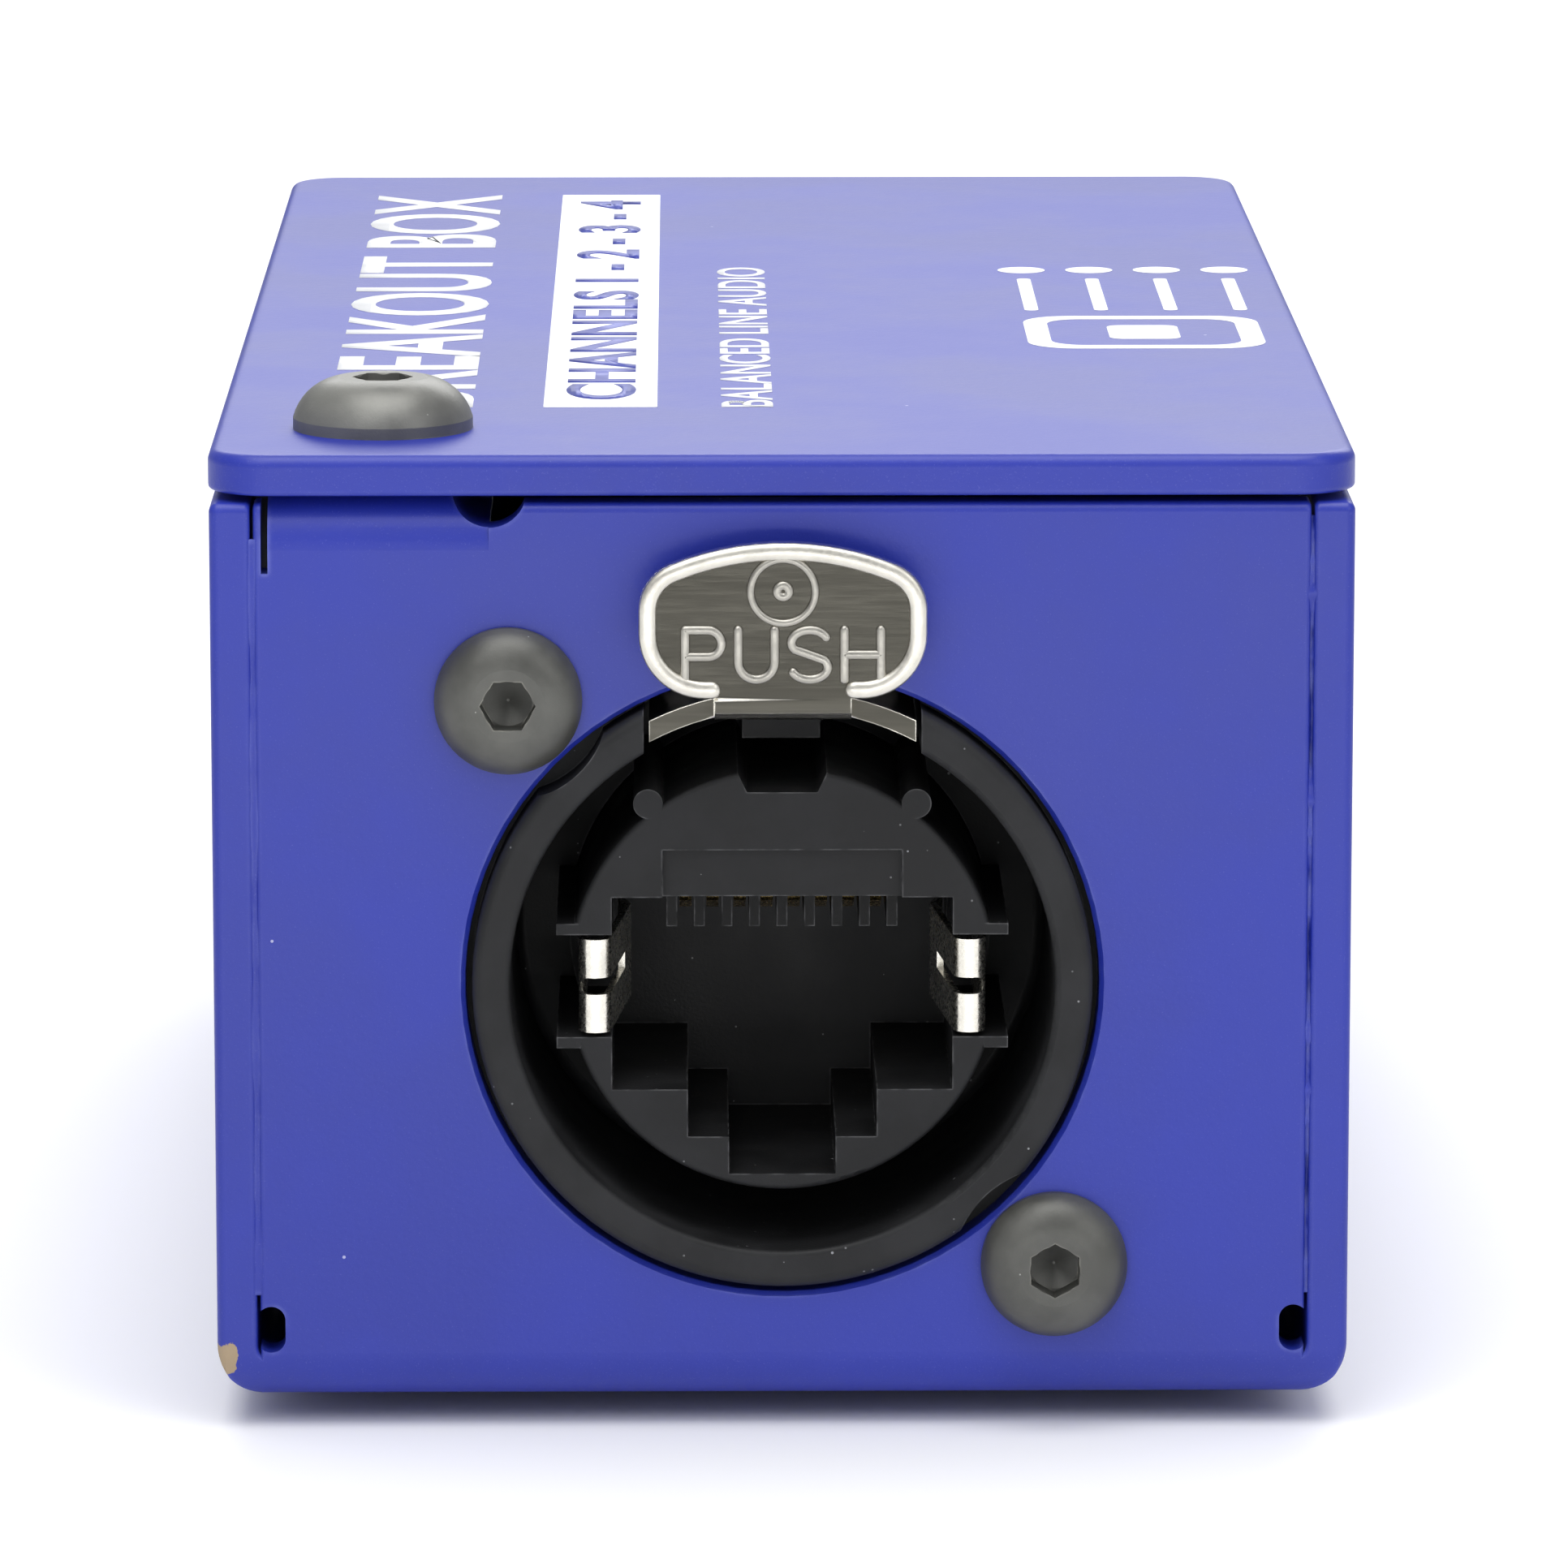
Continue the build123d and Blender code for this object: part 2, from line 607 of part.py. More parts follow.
def board_screws():
    screws = []
    back = board_depth + board_thickness
    for x, z in ((boss_x, boss_z), (-boss_x, -boss_z)):
        head = rod_y(board_screw_head_radius, back, back + board_screw_head_height, x, z)
        head = fillet(head.edges().group_by(Axis.Y)[-1], 0.5)
        screw = head + rod_y(board_screw_radius, back - board_screw_length, back, x, z)
        slot = block(x - 1.3, x + 1.3, back + 0.6, back + 3, z - 0.2, z + 0.2)
        cross = block(x - 0.2, x + 0.2, back + 0.6, back + 3, z - 1.3, z + 1.3)
        screws.append(screw - slot - cross)
    return at_socket(Compound(children=screws))


def header_spots():
    columns = [(i - (header_columns - 1) / 2) * header_pitch for i in range(header_columns)]
    rows = [header_z + (j - (header_rows - 1) / 2) * header_pitch for j in range(header_rows)]
    return [(x, z) for x in columns for z in rows]


def board_header():
    half_x = header_columns * header_pitch / 2 + header_wall
    half_z = header_rows * header_pitch / 2 + header_wall
    back = board_depth + board_thickness
    house = block(-half_x, half_x, back, back + header_depth, header_z - half_z, header_z + half_z)
    house = fillet(house.edges().filter_by(Axis.Y), 0.5)
    wall = header_wall - 0.6
    house -= block(-half_x + wall, half_x - wall, back + header_floor, back + header_depth + 1,
                   header_z - half_z + wall, header_z + half_z - wall)
    house -= block(-2.2, 2.2, back + header_floor, back + header_depth + 1,
                   header_z + half_z - wall - 0.5, header_z + half_z + 1)
    half = header_pin / 2
    for x, z in header_spots():
        house -= block(x - half, x + half, back - 1, back + header_floor + 1, z - half, z + half)
    return at_socket(house)


def header_pins():
    half = header_pin / 2
    back = board_depth + board_thickness
    pins = []
    for x, z in header_spots():
        pin = block(x - half, x + half, board_depth - header_pin_tail, back + header_pin_out,
                    z - half, z + half)
        pins.append(chamfer(pin.faces().sort_by(Axis.Y)[-1].edges(), 0.15))
    return at_socket(Compound(children=pins))


def connector_screws():
    screws = []
    for x, z, turn in ((-fastener_x, fastener_z, 0), (fastener_x, -fastener_z, 30)):
        screw = button_screw(socket_screw_head_radius, socket_screw_head_height, socket_screw_radius,
                             socket_screw_length, socket_screw_key)
        screws.append(Pos(x, 0, z) * Rot(90, 0, 0) * Rot(0, 0, turn) * screw)
    return at_socket(Compound(children=screws))


def connector_nuts():
    nuts = []
    flat_to_barrel = math.degrees(math.atan2(fastener_z, fastener_x)) + 30
    for x, z, start in ((-fastener_x, fastener_z, flange_back + earth_tag_thickness),
                        (fastener_x, -fastener_z, flange_back)):
        nut = Rot(-90, 0, 0) * Rot(0, 0, flat_to_barrel) * hexagon(socket_nut_flats, socket_nut_height)
        nut = Pos(x, start, z) * nut
        nuts.append(nut - rod_y(socket_screw_radius, 0, flange_back + 9, x, z))
    return at_socket(Compound(children=nuts))


# ---- latch ---------------------------------------------------------------------------------------
def tab_outline(inset):
    """Outline of the latch tab, drawn in the XZ plane: a rounded oblong with a crowned top."""
    oblong = Rectangle(latch_tab_width - 2 * inset, latch_tab_height - 2 * inset)
    crown = Pos(0, latch_tab_height / 2 - latch_tab_crown) * Circle(latch_tab_crown - inset)
    outline = oblong & crown
    outline = fillet(outline.vertices().group_by(Axis.Y)[0], latch_tab_corner - inset)
    outline = fillet(outline.vertices().group_by(Axis.Y)[-1], latch_tab_shoulder - inset)
    return Pos(0, latch_tab_bottom + latch_tab_height / 2) * outline


def latch_lever():
    plate_back = pivot_depth
    plate = rod_y(latch_outer_radius, -latch_front, plate_back, 0, 0)
    plate -= rod_y(latch_outer_radius - latch_sheet, -latch_front - 1, plate_back + 1, 0, 0)
    half = latch_plate_width / 2
    plate = plate & block(-half, half, -latch_front, plate_back, latch_sheet, latch_outer_radius + 1)
    plate -= rod_x(pivot_pin_radius + pivot_clearance, -half - 1, half + 1, pivot_depth, pivot_z)
    for side in (-1, 1):
        x = sorted((side * (eye_width / 2 + 0.2), side * (half + 1)))
        plate -= block(*x, pivot_depth - eye_radius - 0.7, plate_back + 1,
                       latch_sheet, latch_outer_radius + 1)
    neck_half = latch_neck_width / 2
    tab_back = -latch_tab_standoff
    tab_front = tab_back - latch_sheet
    neck_top = latch_neck_bottom + latch_sheet
    mid_depth = (tab_back + tab_front) / 2
    profile = trace(FilletPolyline(
        (1.0, latch_neck_bottom + latch_sheet / 2), (mid_depth, latch_neck_bottom + latch_sheet / 2),
        (mid_depth, latch_tab_bottom + 1.2), radius=[latch_bend_radius - latch_sheet / 2]), latch_sheet)
    neck = extrude(Pos(-neck_half, 0, 0) * (Plane.YZ * profile), latch_neck_width)
    tab = extrude(Pos(0, tab_back, 0) * (Plane.XZ * tab_outline(0)), latch_sheet)
    tab = fillet(tab.faces().sort_by(Axis.Y)[0].edges(), 0.2)
    recess = extrude(Pos(0, tab_front + latch_recess, 0) * (Plane.XZ * tab_outline(latch_rim)), 1)
    throat = block(-neck_half + 0.15, neck_half - 0.15, tab_front - 1, tab_front + latch_recess,
                   neck_top + 0.4, latch_tab_bottom + latch_rim + 0.5)
    tooth = block(-hook_tooth_width / 2, hook_tooth_width / 2, hook_tooth_front,
                  hook_tooth_front + hook_tooth_length, hook_tooth_bottom, latch_outer_radius - 0.3)
    tooth = chamfer(tooth.edges().filter_by(Axis.X).group_by(Axis.Z)[0].sort_by(Axis.Y)[0], 0.5)
    eye = rod_x(eye_radius, -eye_width / 2, eye_width / 2, pivot_depth, pivot_z)
    eye -= rod_x(pivot_pin_radius + pivot_clearance, -eye_width, eye_width, pivot_depth, pivot_z)
    lever = plate + neck + tab - recess - throat + tooth + eye
    return at_socket(lever)


def latch_pin():
    half = hood_width / 2
    pin = rod_x(pivot_pin_radius, -half, half, pivot_depth, pivot_z)
    return at_socket(chamfer(pin.edges(), 0.12))


def latch_spring():
    """Compression spring between the latch plate and the roof of its pocket."""
    seat = latch_outer_radius + 0.02 + coil_wire
    roof = hood_inner_top + spring_pocket_height - coil_wire
    height = roof - seat
    path = Helix(pitch=height / coil_turns, height=height, radius=coil_radius)
    section = Plane(origin=path @ 0, z_dir=path % 0) * Circle(coil_wire)
    coil = sweep(section, path=path, is_frenet=True)
    return at_socket(Pos(0, coil_depth, seat) * coil)


# ---- earth bond ----------------------------------------------------------------------------------
def wire_x():
    return -fastener_x - earth_tag_reach


def earth_tag():
    near = flange_back
    far = flange_back + earth_tag_thickness
    ring = rod_y(earth_tag_radius, near, far, -fastener_x, fastener_z)
    tail = block(wire_x() - crimp_radius, -fastener_x, near, far, fastener_z - 1.1, fastener_z + 1.1)
    crimp = rod_y(crimp_radius, near, near + crimp_length, wire_x(), fastener_z)
    tag = ring + tail + crimp
    tag -= rod_y(socket_screw_radius + 0.05, near - 1, far + 1, -fastener_x, fastener_z)
    tag -= rod_y(wire_radius, near + 1, near + crimp_length + 1, wire_x(), fastener_z)
    return at_socket(tag)


def earth_wire():
    """Insulated wire from the tag's crimp to the board, in one gentle S."""
    start = flange_back + 1
    end = board_depth + board_thickness
    run = (end - start) / 3
    radius = 0.45 * run / math.tan(math.atan2(wire_drop, run) / 2)
    path = FilletPolyline(
        (wire_x(), start, fastener_z), (wire_x(), start + run, fastener_z),
        (wire_x(), end - run, fastener_z - wire_drop), (wire_x(), end, fastener_z - wire_drop),
        radius=[radius, radius])
    section = Plane(origin=path @ 0, z_dir=path % 0) * Circle(wire_radius)
    return at_socket(sweep(section, path=path))


# ---- cable gland ---------------------------------------------------------------------------------
def at_gland(shape):
    return Pos(0, rear_y, gland_z) * shape


def gland_body():
    inner_end = -sheet - gland_thread_inside
    face = gasket_thickness + gland_flange
    neck_end = face + gland_neck_length
    thread = rod_y(gland_thread_radius, inner_end, face, 0, 0)
    thread = chamfer(thread.edges().group_by(Axis.Y)[0], 0.5)
    hexed = Pos(0, face, 0) * Rot(90, 0, 0) * hexagon(gland_flats, gland_flange)
    rounding = turned([(0, gasket_thickness, 0), (gland_flats * 0.56, gasket_thickness, 0.8),
                       (gland_flats * 0.56, face, 0.8), (0, face, 0)])
    body = thread + (hexed & rounding) + rod_y(gland_neck_radius, face, neck_end, 0, 0)
    body -= rod_y(gland_passage_radius, inner_end - 1, neck_end + 1, 0, 0)
    body -= rod_y(seal_radius, face, neck_end + 1, 0, 0)
    return at_gland(body)


def gland_gasket():
    ring = turned([(gland_thread_radius, 0, 0), (gasket_radius, 0, 0.2),
                   (gasket_radius, gasket_thickness, 0.2), (gland_thread_radius, gasket_thickness, 0)])
    return at_gland(ring)


def gland_locknut():
    back = -sheet
    nut = Pos(0, back, 0) * Rot(90, 0, 0) * hexagon(locknut_flats, locknut_height)
    limit = locknut_flats * 0.56
    rounding = turned([(0, back - locknut_height, 0), (limit, back - locknut_height, 0.8),
                       (limit, back, 0.8), (0, back, 0)])
    nut = (nut & rounding) - rod_y(gland_thread_radius, back - locknut_height - 1, back + 1, 0, 0)
    return at_gland(nut)


def gland_seal():
    face = gasket_thickness + gland_flange
    sleeve = turned([(cable_radius, face, 0.3), (seal_radius, face, 0),
                     (seal_radius, face + seal_length, 0.5), (cable_radius, face + seal_length, 0.3)])
    return at_gland(sleeve)


def gland_cap():
    """Domed compression nut over the neck, with a hexagonal foot and six grip flats."""
    face = gasket_thickness + gland_flange
    end = face + cap_length
    limit = gland_flats * 0.56
    body = turned([(0, face, 0), (limit, face, 0.8), (limit, face + cap_length * 0.55, 2.5),
                   (cap_nose_radius, end, 1.2), (0, end, 0)])
    body = body & (Pos(0, end, 0) * Rot(90, 0, 0) * hexagon(gland_flats, cap_length))
    body -= rod_y(gland_neck_radius, face - 1, face + seal_length, 0, 0)
    body -= rod_y(cap_mouth_radius, face, end + 1, 0, 0)
    return at_gland(body)


# ---- the parts, one file each --------------------------------------------------------------------
def shield_spring_left():
    return shield_spring(-1)


def shield_spring_right():
    return shield_spring(1)


makers = [
    case_tray, lid, lid_screw, lid_clinch_nut, base_pad,
    connector_shell, connector_screws, connector_nuts,
    jack_insert, jack_contacts, contact_carrier, shield_spring_left, shield_spring_right,
    latch_lever, latch_pin, latch_spring,
    circuit_board, board_screws, board_header, header_pins, earth_tag, earth_wire,
    gland_body, gland_gasket, gland_locknut, gland_seal, gland_cap,
]

os.makedirs("parts", exist_ok=True)
for maker in makers:
    export_step(maker(), f"parts/{maker.__name__}.step")
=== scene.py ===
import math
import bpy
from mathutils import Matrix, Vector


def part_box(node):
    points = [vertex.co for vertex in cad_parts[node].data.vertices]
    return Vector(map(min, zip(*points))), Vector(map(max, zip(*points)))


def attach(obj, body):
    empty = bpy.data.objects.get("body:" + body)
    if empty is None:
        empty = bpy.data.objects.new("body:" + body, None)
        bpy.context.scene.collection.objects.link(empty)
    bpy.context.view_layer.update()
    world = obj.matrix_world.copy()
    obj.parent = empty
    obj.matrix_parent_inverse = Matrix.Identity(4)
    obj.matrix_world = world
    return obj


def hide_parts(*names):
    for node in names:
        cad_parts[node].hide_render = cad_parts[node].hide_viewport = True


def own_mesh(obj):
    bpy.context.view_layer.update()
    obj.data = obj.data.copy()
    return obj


bl_info = {
    "name": "Breakout Box Looks",
    "version": (1, 0, 0),
    "blender": (4, 5, 0),
    "location": "View3D > Sidebar > Breakout Box",
    "description": "Finishes, lettering, latch details and studio for an audio breakout box",
    "category": "Object",
}

import bmesh
import bpy
import numpy as np
from mathutils import Matrix, Vector

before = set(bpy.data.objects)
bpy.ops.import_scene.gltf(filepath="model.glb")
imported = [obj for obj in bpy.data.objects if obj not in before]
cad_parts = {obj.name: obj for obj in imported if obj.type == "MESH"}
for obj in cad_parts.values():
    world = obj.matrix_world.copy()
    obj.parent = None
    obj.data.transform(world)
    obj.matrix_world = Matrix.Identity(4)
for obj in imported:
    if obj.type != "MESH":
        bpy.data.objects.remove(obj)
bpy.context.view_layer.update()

MM = 0.001
LID_LOW, LID_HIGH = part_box("lid")
TRAY_LOW, TRAY_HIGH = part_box("case_tray")
TAB_LOW, TAB_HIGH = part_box("latch_lever")
SPRING_LOW, SPRING_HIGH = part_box("latch_spring")
TAB_HEIGHT = 5.76 * MM
TAB_CORNER = 2.4 * MM
TAB_SHOULDER = 1.8 * MM
TAB_CROWN = 10.9 * MM
TAB_Z = TAB_HIGH.z - TAB_HEIGHT / 2
SHEET = 1.5 * MM
SEAM_X = TRAY_HIGH.x - SHEET - 0.06 * MM
WORD_DROP = 1.25 * MM  # middle of the tab down to the middle of the word
RING_RISE = 1.10 * MM  # and up to the middle of the ring

# name, place and target in metres, width and height in metres, power in watts
LIGHTS = (
    ("key", (-0.25, -0.55, 0.62), (0, 0, 0.018), 0.5, 0.5, 1.5),
    ("fill", (0.5, -0.5, 0.4), (0, 0, 0.018), 0.4, 0.5, 1.0),
    ("top", (0.0, -0.12, 0.75), (0, 0, 0.018), 0.6, 0.6, 4.3),
    ("back", (0.1, 0.8, 0.5), (0, 0, 0.018), 0.8, 0.4, 3.7),
    ("bounce", (0.0, -0.21, 0.012), (0, TRAY_LOW.y, 0.003), 0.2, 0.014, 0.04),
)


# ---- settings -------------------------------------------------------------------------------
def length(name, description, default, low):
    """A property for a size in metres, with its default and its lowest value."""
    return bpy.props.FloatProperty(name=name, description=description, default=default, min=low,
                                   subtype="DISTANCE", unit="LENGTH")


class BoxFinishSettings(bpy.types.PropertyGroup):
    """Colours of the coatings and mouldings"""

    paint: bpy.props.FloatVectorProperty(
        name="Paint", description="Powder coat of the tray and lid", subtype="COLOR",
        size=3, min=0, max=1, default=(0.014, 0.027, 0.315))
    ink: bpy.props.FloatVectorProperty(
        name="Ink", description="Screen-printed lettering on the lid", subtype="COLOR",
        size=3, min=0, max=1, default=(0.83, 0.84, 0.86))
    plastic: bpy.props.FloatVectorProperty(
        name="Plastic", description="Glass-filled nylon of the socket and gland", subtype="COLOR",
        size=3, min=0, max=1, default=(0.0170, 0.0173, 0.0185))
    nickel: bpy.props.FloatVectorProperty(
        name="Nickel", description="Plating of the latch and the shield springs", subtype="COLOR",
        size=3, min=0, max=1, default=(0.82, 0.79, 0.71))
    # Painted dark reflection: this colour stands in for the dark surroundings that the latch's
    # front faces reflect.
    painted_reflection_nickel: bpy.props.FloatVectorProperty(
        name="Nickel with painted dark reflection", description="Brushed recess of the latch tab", subtype="COLOR",
        size=3, min=0, max=1, default=(0.085, 0.081, 0.068))
    black_oxide: bpy.props.FloatVectorProperty(
        name="Black oxide", description="Finish of the visible screws", subtype="COLOR",
        size=3, min=0, max=1, default=(0.095, 0.095, 0.087))


class LidPrintSettings(bpy.types.PropertyGroup):
    """Sizes of the lettering on the lid, measured from the front left corner"""

    title_height: length("Title height", "Cap height of the title", 5.6 * MM, 0.001)
    title_left: length(
        "Title inset", "Left side of the lid to the tops of the title's letters", 4.0 * MM, 0)
    print_front: length("Print start", "Front of the lid to the start of every line", 12.2 * MM, 0)
    print_length: length(
        "Print length", "Length of the title and of the bar below it", 65.0 * MM, 0.01)
    bar_left: length("Bar inset", "Left side of the lid to the white bar", 12.2 * MM, 0)
    bar_width: length("Bar width", "Width of the white bar", 4.3 * MM, 0.001)
    note_left: length("Note inset", "Left side of the lid to the small line", 18.9 * MM, 0)
    note_height: length("Note height", "Cap height of the small line", 2.0 * MM, 0.0005)
    sign_left: length("Sign inset", "Left side of the lid to the pictogram", 30.6 * MM, 0)
    sign_front: length("Sign start", "Front of the lid to the pictogram", 28.0 * MM, 0)
    sign_size: length("Sign size", "Side of the pictogram's square", 9.4 * MM, 0.001)
    ink_thickness: length(
        "Ink thickness", "Height of the ink above the paint", 0.02 * MM, 0.000005)


class LatchSettings(bpy.types.PropertyGroup):
    """Raised details on the latch tab"""

    rim_width: length("Rim width", "Width of the rolled rim round the tab", 0.66 * MM, 0.0001)
    rim_height: length("Rim height", "Height of the rim above the recess", 0.22 * MM, 0.00005)
    letter_height: length(
        "Letter height", "Height of the letters' centre lines", 1.83 * MM, 0.0005)
    stroke: length("Stroke", "Width of a raised stroke", 0.36 * MM, 0.00005)
    relief: length("Relief", "Height of a raised stroke", 0.15 * MM, 0.00002)
    recess: length("Recess", "Depth of the recess behind the tab's front", 0.22 * MM, 0)
    neck_half: length("Neck half width", "Middle line to the end of the rim", 2.6 * MM, 0.0005)
    ring_radius: length("Ring radius", "Centre line of the ring above the word", 1.18 * MM, 0.0003)
    coil_wire: length("Coil wire", "Radius of the return spring's wire", 0.15 * MM, 0.00005)
    coil_turns: bpy.props.IntProperty(
        name="Coil turns", description="Turns of the return spring", min=1, default=4)
    coil_keep: bpy.props.FloatProperty(
        name="Coil share", description="Share of the spring's length that is left when pressed",
        min=0.1, max=1, default=0.86)


class SeamSettings(bpy.types.PropertyGroup):
    """Paint in the seams of the tray"""

    left_sink: length("Left sink", "Groove left in the well filled seams", 0.07 * MM, 0)
    right_sink: length("Right sink", "Groove left in the poorly filled seams", 0.2 * MM, 0)
    top_gap: length("Top gap", "Top of the tray to the end of the left fill", 1.6 * MM, 0)


class StudioSettings(bpy.types.PropertyGroup):
    """Camera and table top"""

    lens: bpy.props.FloatProperty(
        name="Lens", description="Focal length of the camera", subtype="DISTANCE_CAMERA",
        min=10, default=226.2)
    distance: length("Distance", "Camera to the front wall, along the depth", 356.2 * MM, 0.05)
    height: length("Height", "Camera above the table", 90.3 * MM, 0)
    pitch: bpy.props.FloatProperty(
        name="Pitch", description="Camera's tilt below the horizon", subtype="ANGLE",
        unit="ROTATION", default=0.183)
    yaw: bpy.props.FloatProperty(
        name="Yaw", description="Camera's turn to the right", subtype="ANGLE",
        unit="ROTATION", default=0.0106)
    floor: bpy.props.FloatVectorProperty(
        name="Floor", description="Colour of the table top", subtype="COLOR",
        size=3, min=0, max=1, default=(0.93, 0.93, 0.935))


# ---- meshes from formulas -------------------------------------------------------------------
def mesh_object(name, vertices, faces, smooth=True):
    mesh = bpy.data.meshes.new(name)
    mesh.from_pydata([tuple(v) for v in np.asarray(vertices, float)], [], faces)
    mesh.validate()
    if smooth:
        mesh.shade_smooth()
    piece = bpy.data.objects.new(name, mesh)
    bpy.context.scene.collection.objects.link(piece)
    return piece


def grid_faces(rows, columns, wrap_rows=False, wrap_columns=False):
    """Quads of a rows by columns grid of points, counted row by row."""
    i, j = np.meshgrid(np.arange(rows if wrap_rows else rows - 1),
                       np.arange(columns if wrap_columns else columns - 1), indexing="ij")
    a = (i % rows) * columns + j % columns
    b = (i % rows) * columns + (j + 1) % columns
    c = ((i + 1) % rows) * columns + (j + 1) % columns
    d = ((i + 1) % rows) * columns + j % columns
    return np.stack([a, b, c, d], -1).reshape(-1, 4)


def ridge_points(path, width, height, closed=False, power=2.4, steps=10):
    """A rounded ridge carried along a flat path in the XZ plane, standing out towards -Y.

    At each path point the section crosses the path at w = width/2 * cos(a), for a from 0 to pi,
    at the height h = height * sin(a) ** (2 / power): a half round, squarer for a higher power.
    Two more points close the section below.
    """
    path = np.asarray(path, float)
    if closed:
        ahead, behind = np.roll(path, -1, 0), np.roll(path, 1, 0)
    else:
        ahead = np.vstack([path[1:], 2 * path[-1] - path[-2]])
        behind = np.vstack([2 * path[0] - path[1], path[:-1]])
    along = ahead - behind
    along /= np.linalg.norm(along, axis=1)[:, None]
    across = np.stack([-along[:, 1], along[:, 0]], 1)
    angle = np.linspace(0, np.pi, steps)
    offset = np.cos(angle) * width / 2
    rise = height * np.sin(angle) ** (2 / power)
    offset = np.concatenate([offset, [-width / 2, width / 2]])
    rise = np.concatenate([rise, [-height * 0.35, -height * 0.35]])
    flat = path[:, None, :] + across[:, None, :] * offset[None, :, None]
    points = np.empty((len(path), len(offset), 3))
    points[..., 0] = flat[..., 0]
    points[..., 1] = -rise[None, :]
    points[..., 2] = flat[..., 1]
    return points


def rounded_ends(path, width, count=5):
    """Adds a round start and finish to an open stroke: the widths follow a half circle."""
    path = np.asarray(path, float)
    t = np.sin(np.linspace(0, np.pi / 2, count))[1:]
    head = path[0] - path[1]
    head /= np.linalg.norm(head)
    tail = path[-1] - path[-2]
    tail /= np.linalg.norm(tail)
    start = path[0] + head * (t[::-1, None] * width / 2)
    finish = path[-1] + tail * (t[:, None] * width / 2)
    scale = np.concatenate([np.sqrt(1 - np.minimum(t[::-1], 0.995) ** 2), np.ones(len(path)),
                            np.sqrt(1 - np.minimum(t, 0.995) ** 2)])
    return np.vstack([start, path, finish]), scale


def ridge_mesh(name, strokes, width, height, closed=False, power=2.4):
    """One object of several ridges; each stroke is a path of (x, z) points."""
    vertices, faces, base = [], [], 0
    for stroke in strokes:
        if closed:
            points = ridge_points(stroke, width, height, True, power)
        else:
            path, scale = rounded_ends(stroke, width)
            points = ridge_points(path, width, height, False, power)
            middle = np.zeros_like(points)
            middle[..., 0] = path[:, None, 0]
            middle[..., 2] = path[:, None, 1]
            points = middle + (points - middle) * scale[:, None, None]
        rows, columns = points.shape[:2]
        vertices.append(points.reshape(-1, 3))
        quads = grid_faces(rows, columns, wrap_rows=closed, wrap_columns=True)
        faces += [tuple(q + base) for q in quads]
        if not closed:
            faces.append(tuple(range(base, base + columns)))
            last = base + (rows - 1) * columns
            faces.append(tuple(reversed(range(last, last + columns))))
        base += rows * columns
    piece = mesh_object(name, np.vstack(vertices), faces)
    face_outwards(piece)
    return piece


def face_outwards(piece):
    """Recalculates the normals of a closed mesh."""
    work = bmesh.new()
    work.from_mesh(piece.data)
    bmesh.ops.recalc_face_normals(work, faces=work.faces)
    work.to_mesh(piece.data)
    work.free()


def arc_points(cx, cz, radius, start, stop, count=14):
    """Points on a circle from one angle to another, in degrees."""
    angle = np.radians(np.linspace(start, stop, count))
    return np.stack([cx + radius * np.cos(angle), cz + radius * np.sin(angle)], 1)


def line_points(a, b, count=6):
    """Points on a straight line."""
    t = np.linspace(0, 1, count)[:, None]
    return np.asarray(a, float) * (1 - t) + np.asarray(b, float) * t


def joined(*runs):
    """Runs end to end, without the doubled point where they meet."""
    whole = [runs[0]]
    for run in runs[1:]:
        whole.append(run[1:] if np.allclose(run[0], whole[-1][-1], atol=1e-7) else run)
    return np.vstack(whole)


def shift(piece, offset):
    """Moves a piece's points, so that its object stays at the origin."""
    piece.data.transform(Matrix.Translation(offset))


def plate_mesh(name, outline, front, back):
    """A flat plate in the XZ plane between two depths, from an outline of (x, z) points."""
    count = len(outline)
    layers = [np.stack([outline[:, 0], np.full(count, y), outline[:, 1]], 1) for y in (front, back)]
    ring = np.arange(count)
    after = (ring + 1) % count
    walls = np.stack([ring, ring + count, after + count, after], 1)
    faces = [tuple(ring), tuple(ring[::-1] + count)] + [tuple(wall) for wall in walls]
    piece = mesh_object(name, np.vstack(layers), faces, smooth=False)
    face_outwards(piece)
    return piece


def coil_mesh(name, low, high, wire, turns):
    """A round wire wound about an upright axis, inside a box.

    The middle of the wire climbs evenly on a circle; each ring of points stands across the wire, in
    the plane of the direction away from the axis and the direction square to it and to the wire.
    """
    radius = (high.x - low.x) / 2 - wire
    t = np.linspace(0, 1, turns * 28 + 1)[:, None]
    angle = 2 * np.pi * turns * t
    away = np.hstack([np.cos(angle), np.sin(angle), 0 * t])
    climb = high.z - low.z - 2 * wire
    slope = climb / (2 * np.pi * turns)
    along = np.hstack([-radius * np.sin(angle), radius * np.cos(angle), slope + 0 * t])
    along /= np.linalg.norm(along, axis=1)[:, None]
    square = np.cross(along, away)
    path = away * radius + np.hstack([0 * t + (low.x + high.x) / 2, 0 * t + (low.y + high.y) / 2,
                                      low.z + wire + climb * t])
    turn = np.linspace(0, 2 * np.pi, 10, endpoint=False)[None, :, None]
    ring = np.cos(turn) * away[:, None, :] + np.sin(turn) * square[:, None, :]
    points = path[:, None, :] + wire * ring
    rows, columns = points.shape[:2]
    faces = [tuple(q) for q in grid_faces(rows, columns, wrap_columns=True)]
    faces += [tuple(range(columns)), tuple(range((rows - 1) * columns, rows * columns))]
    piece = mesh_object(name, points.reshape(-1, 3), faces)
    face_outwards(piece)
    return piece


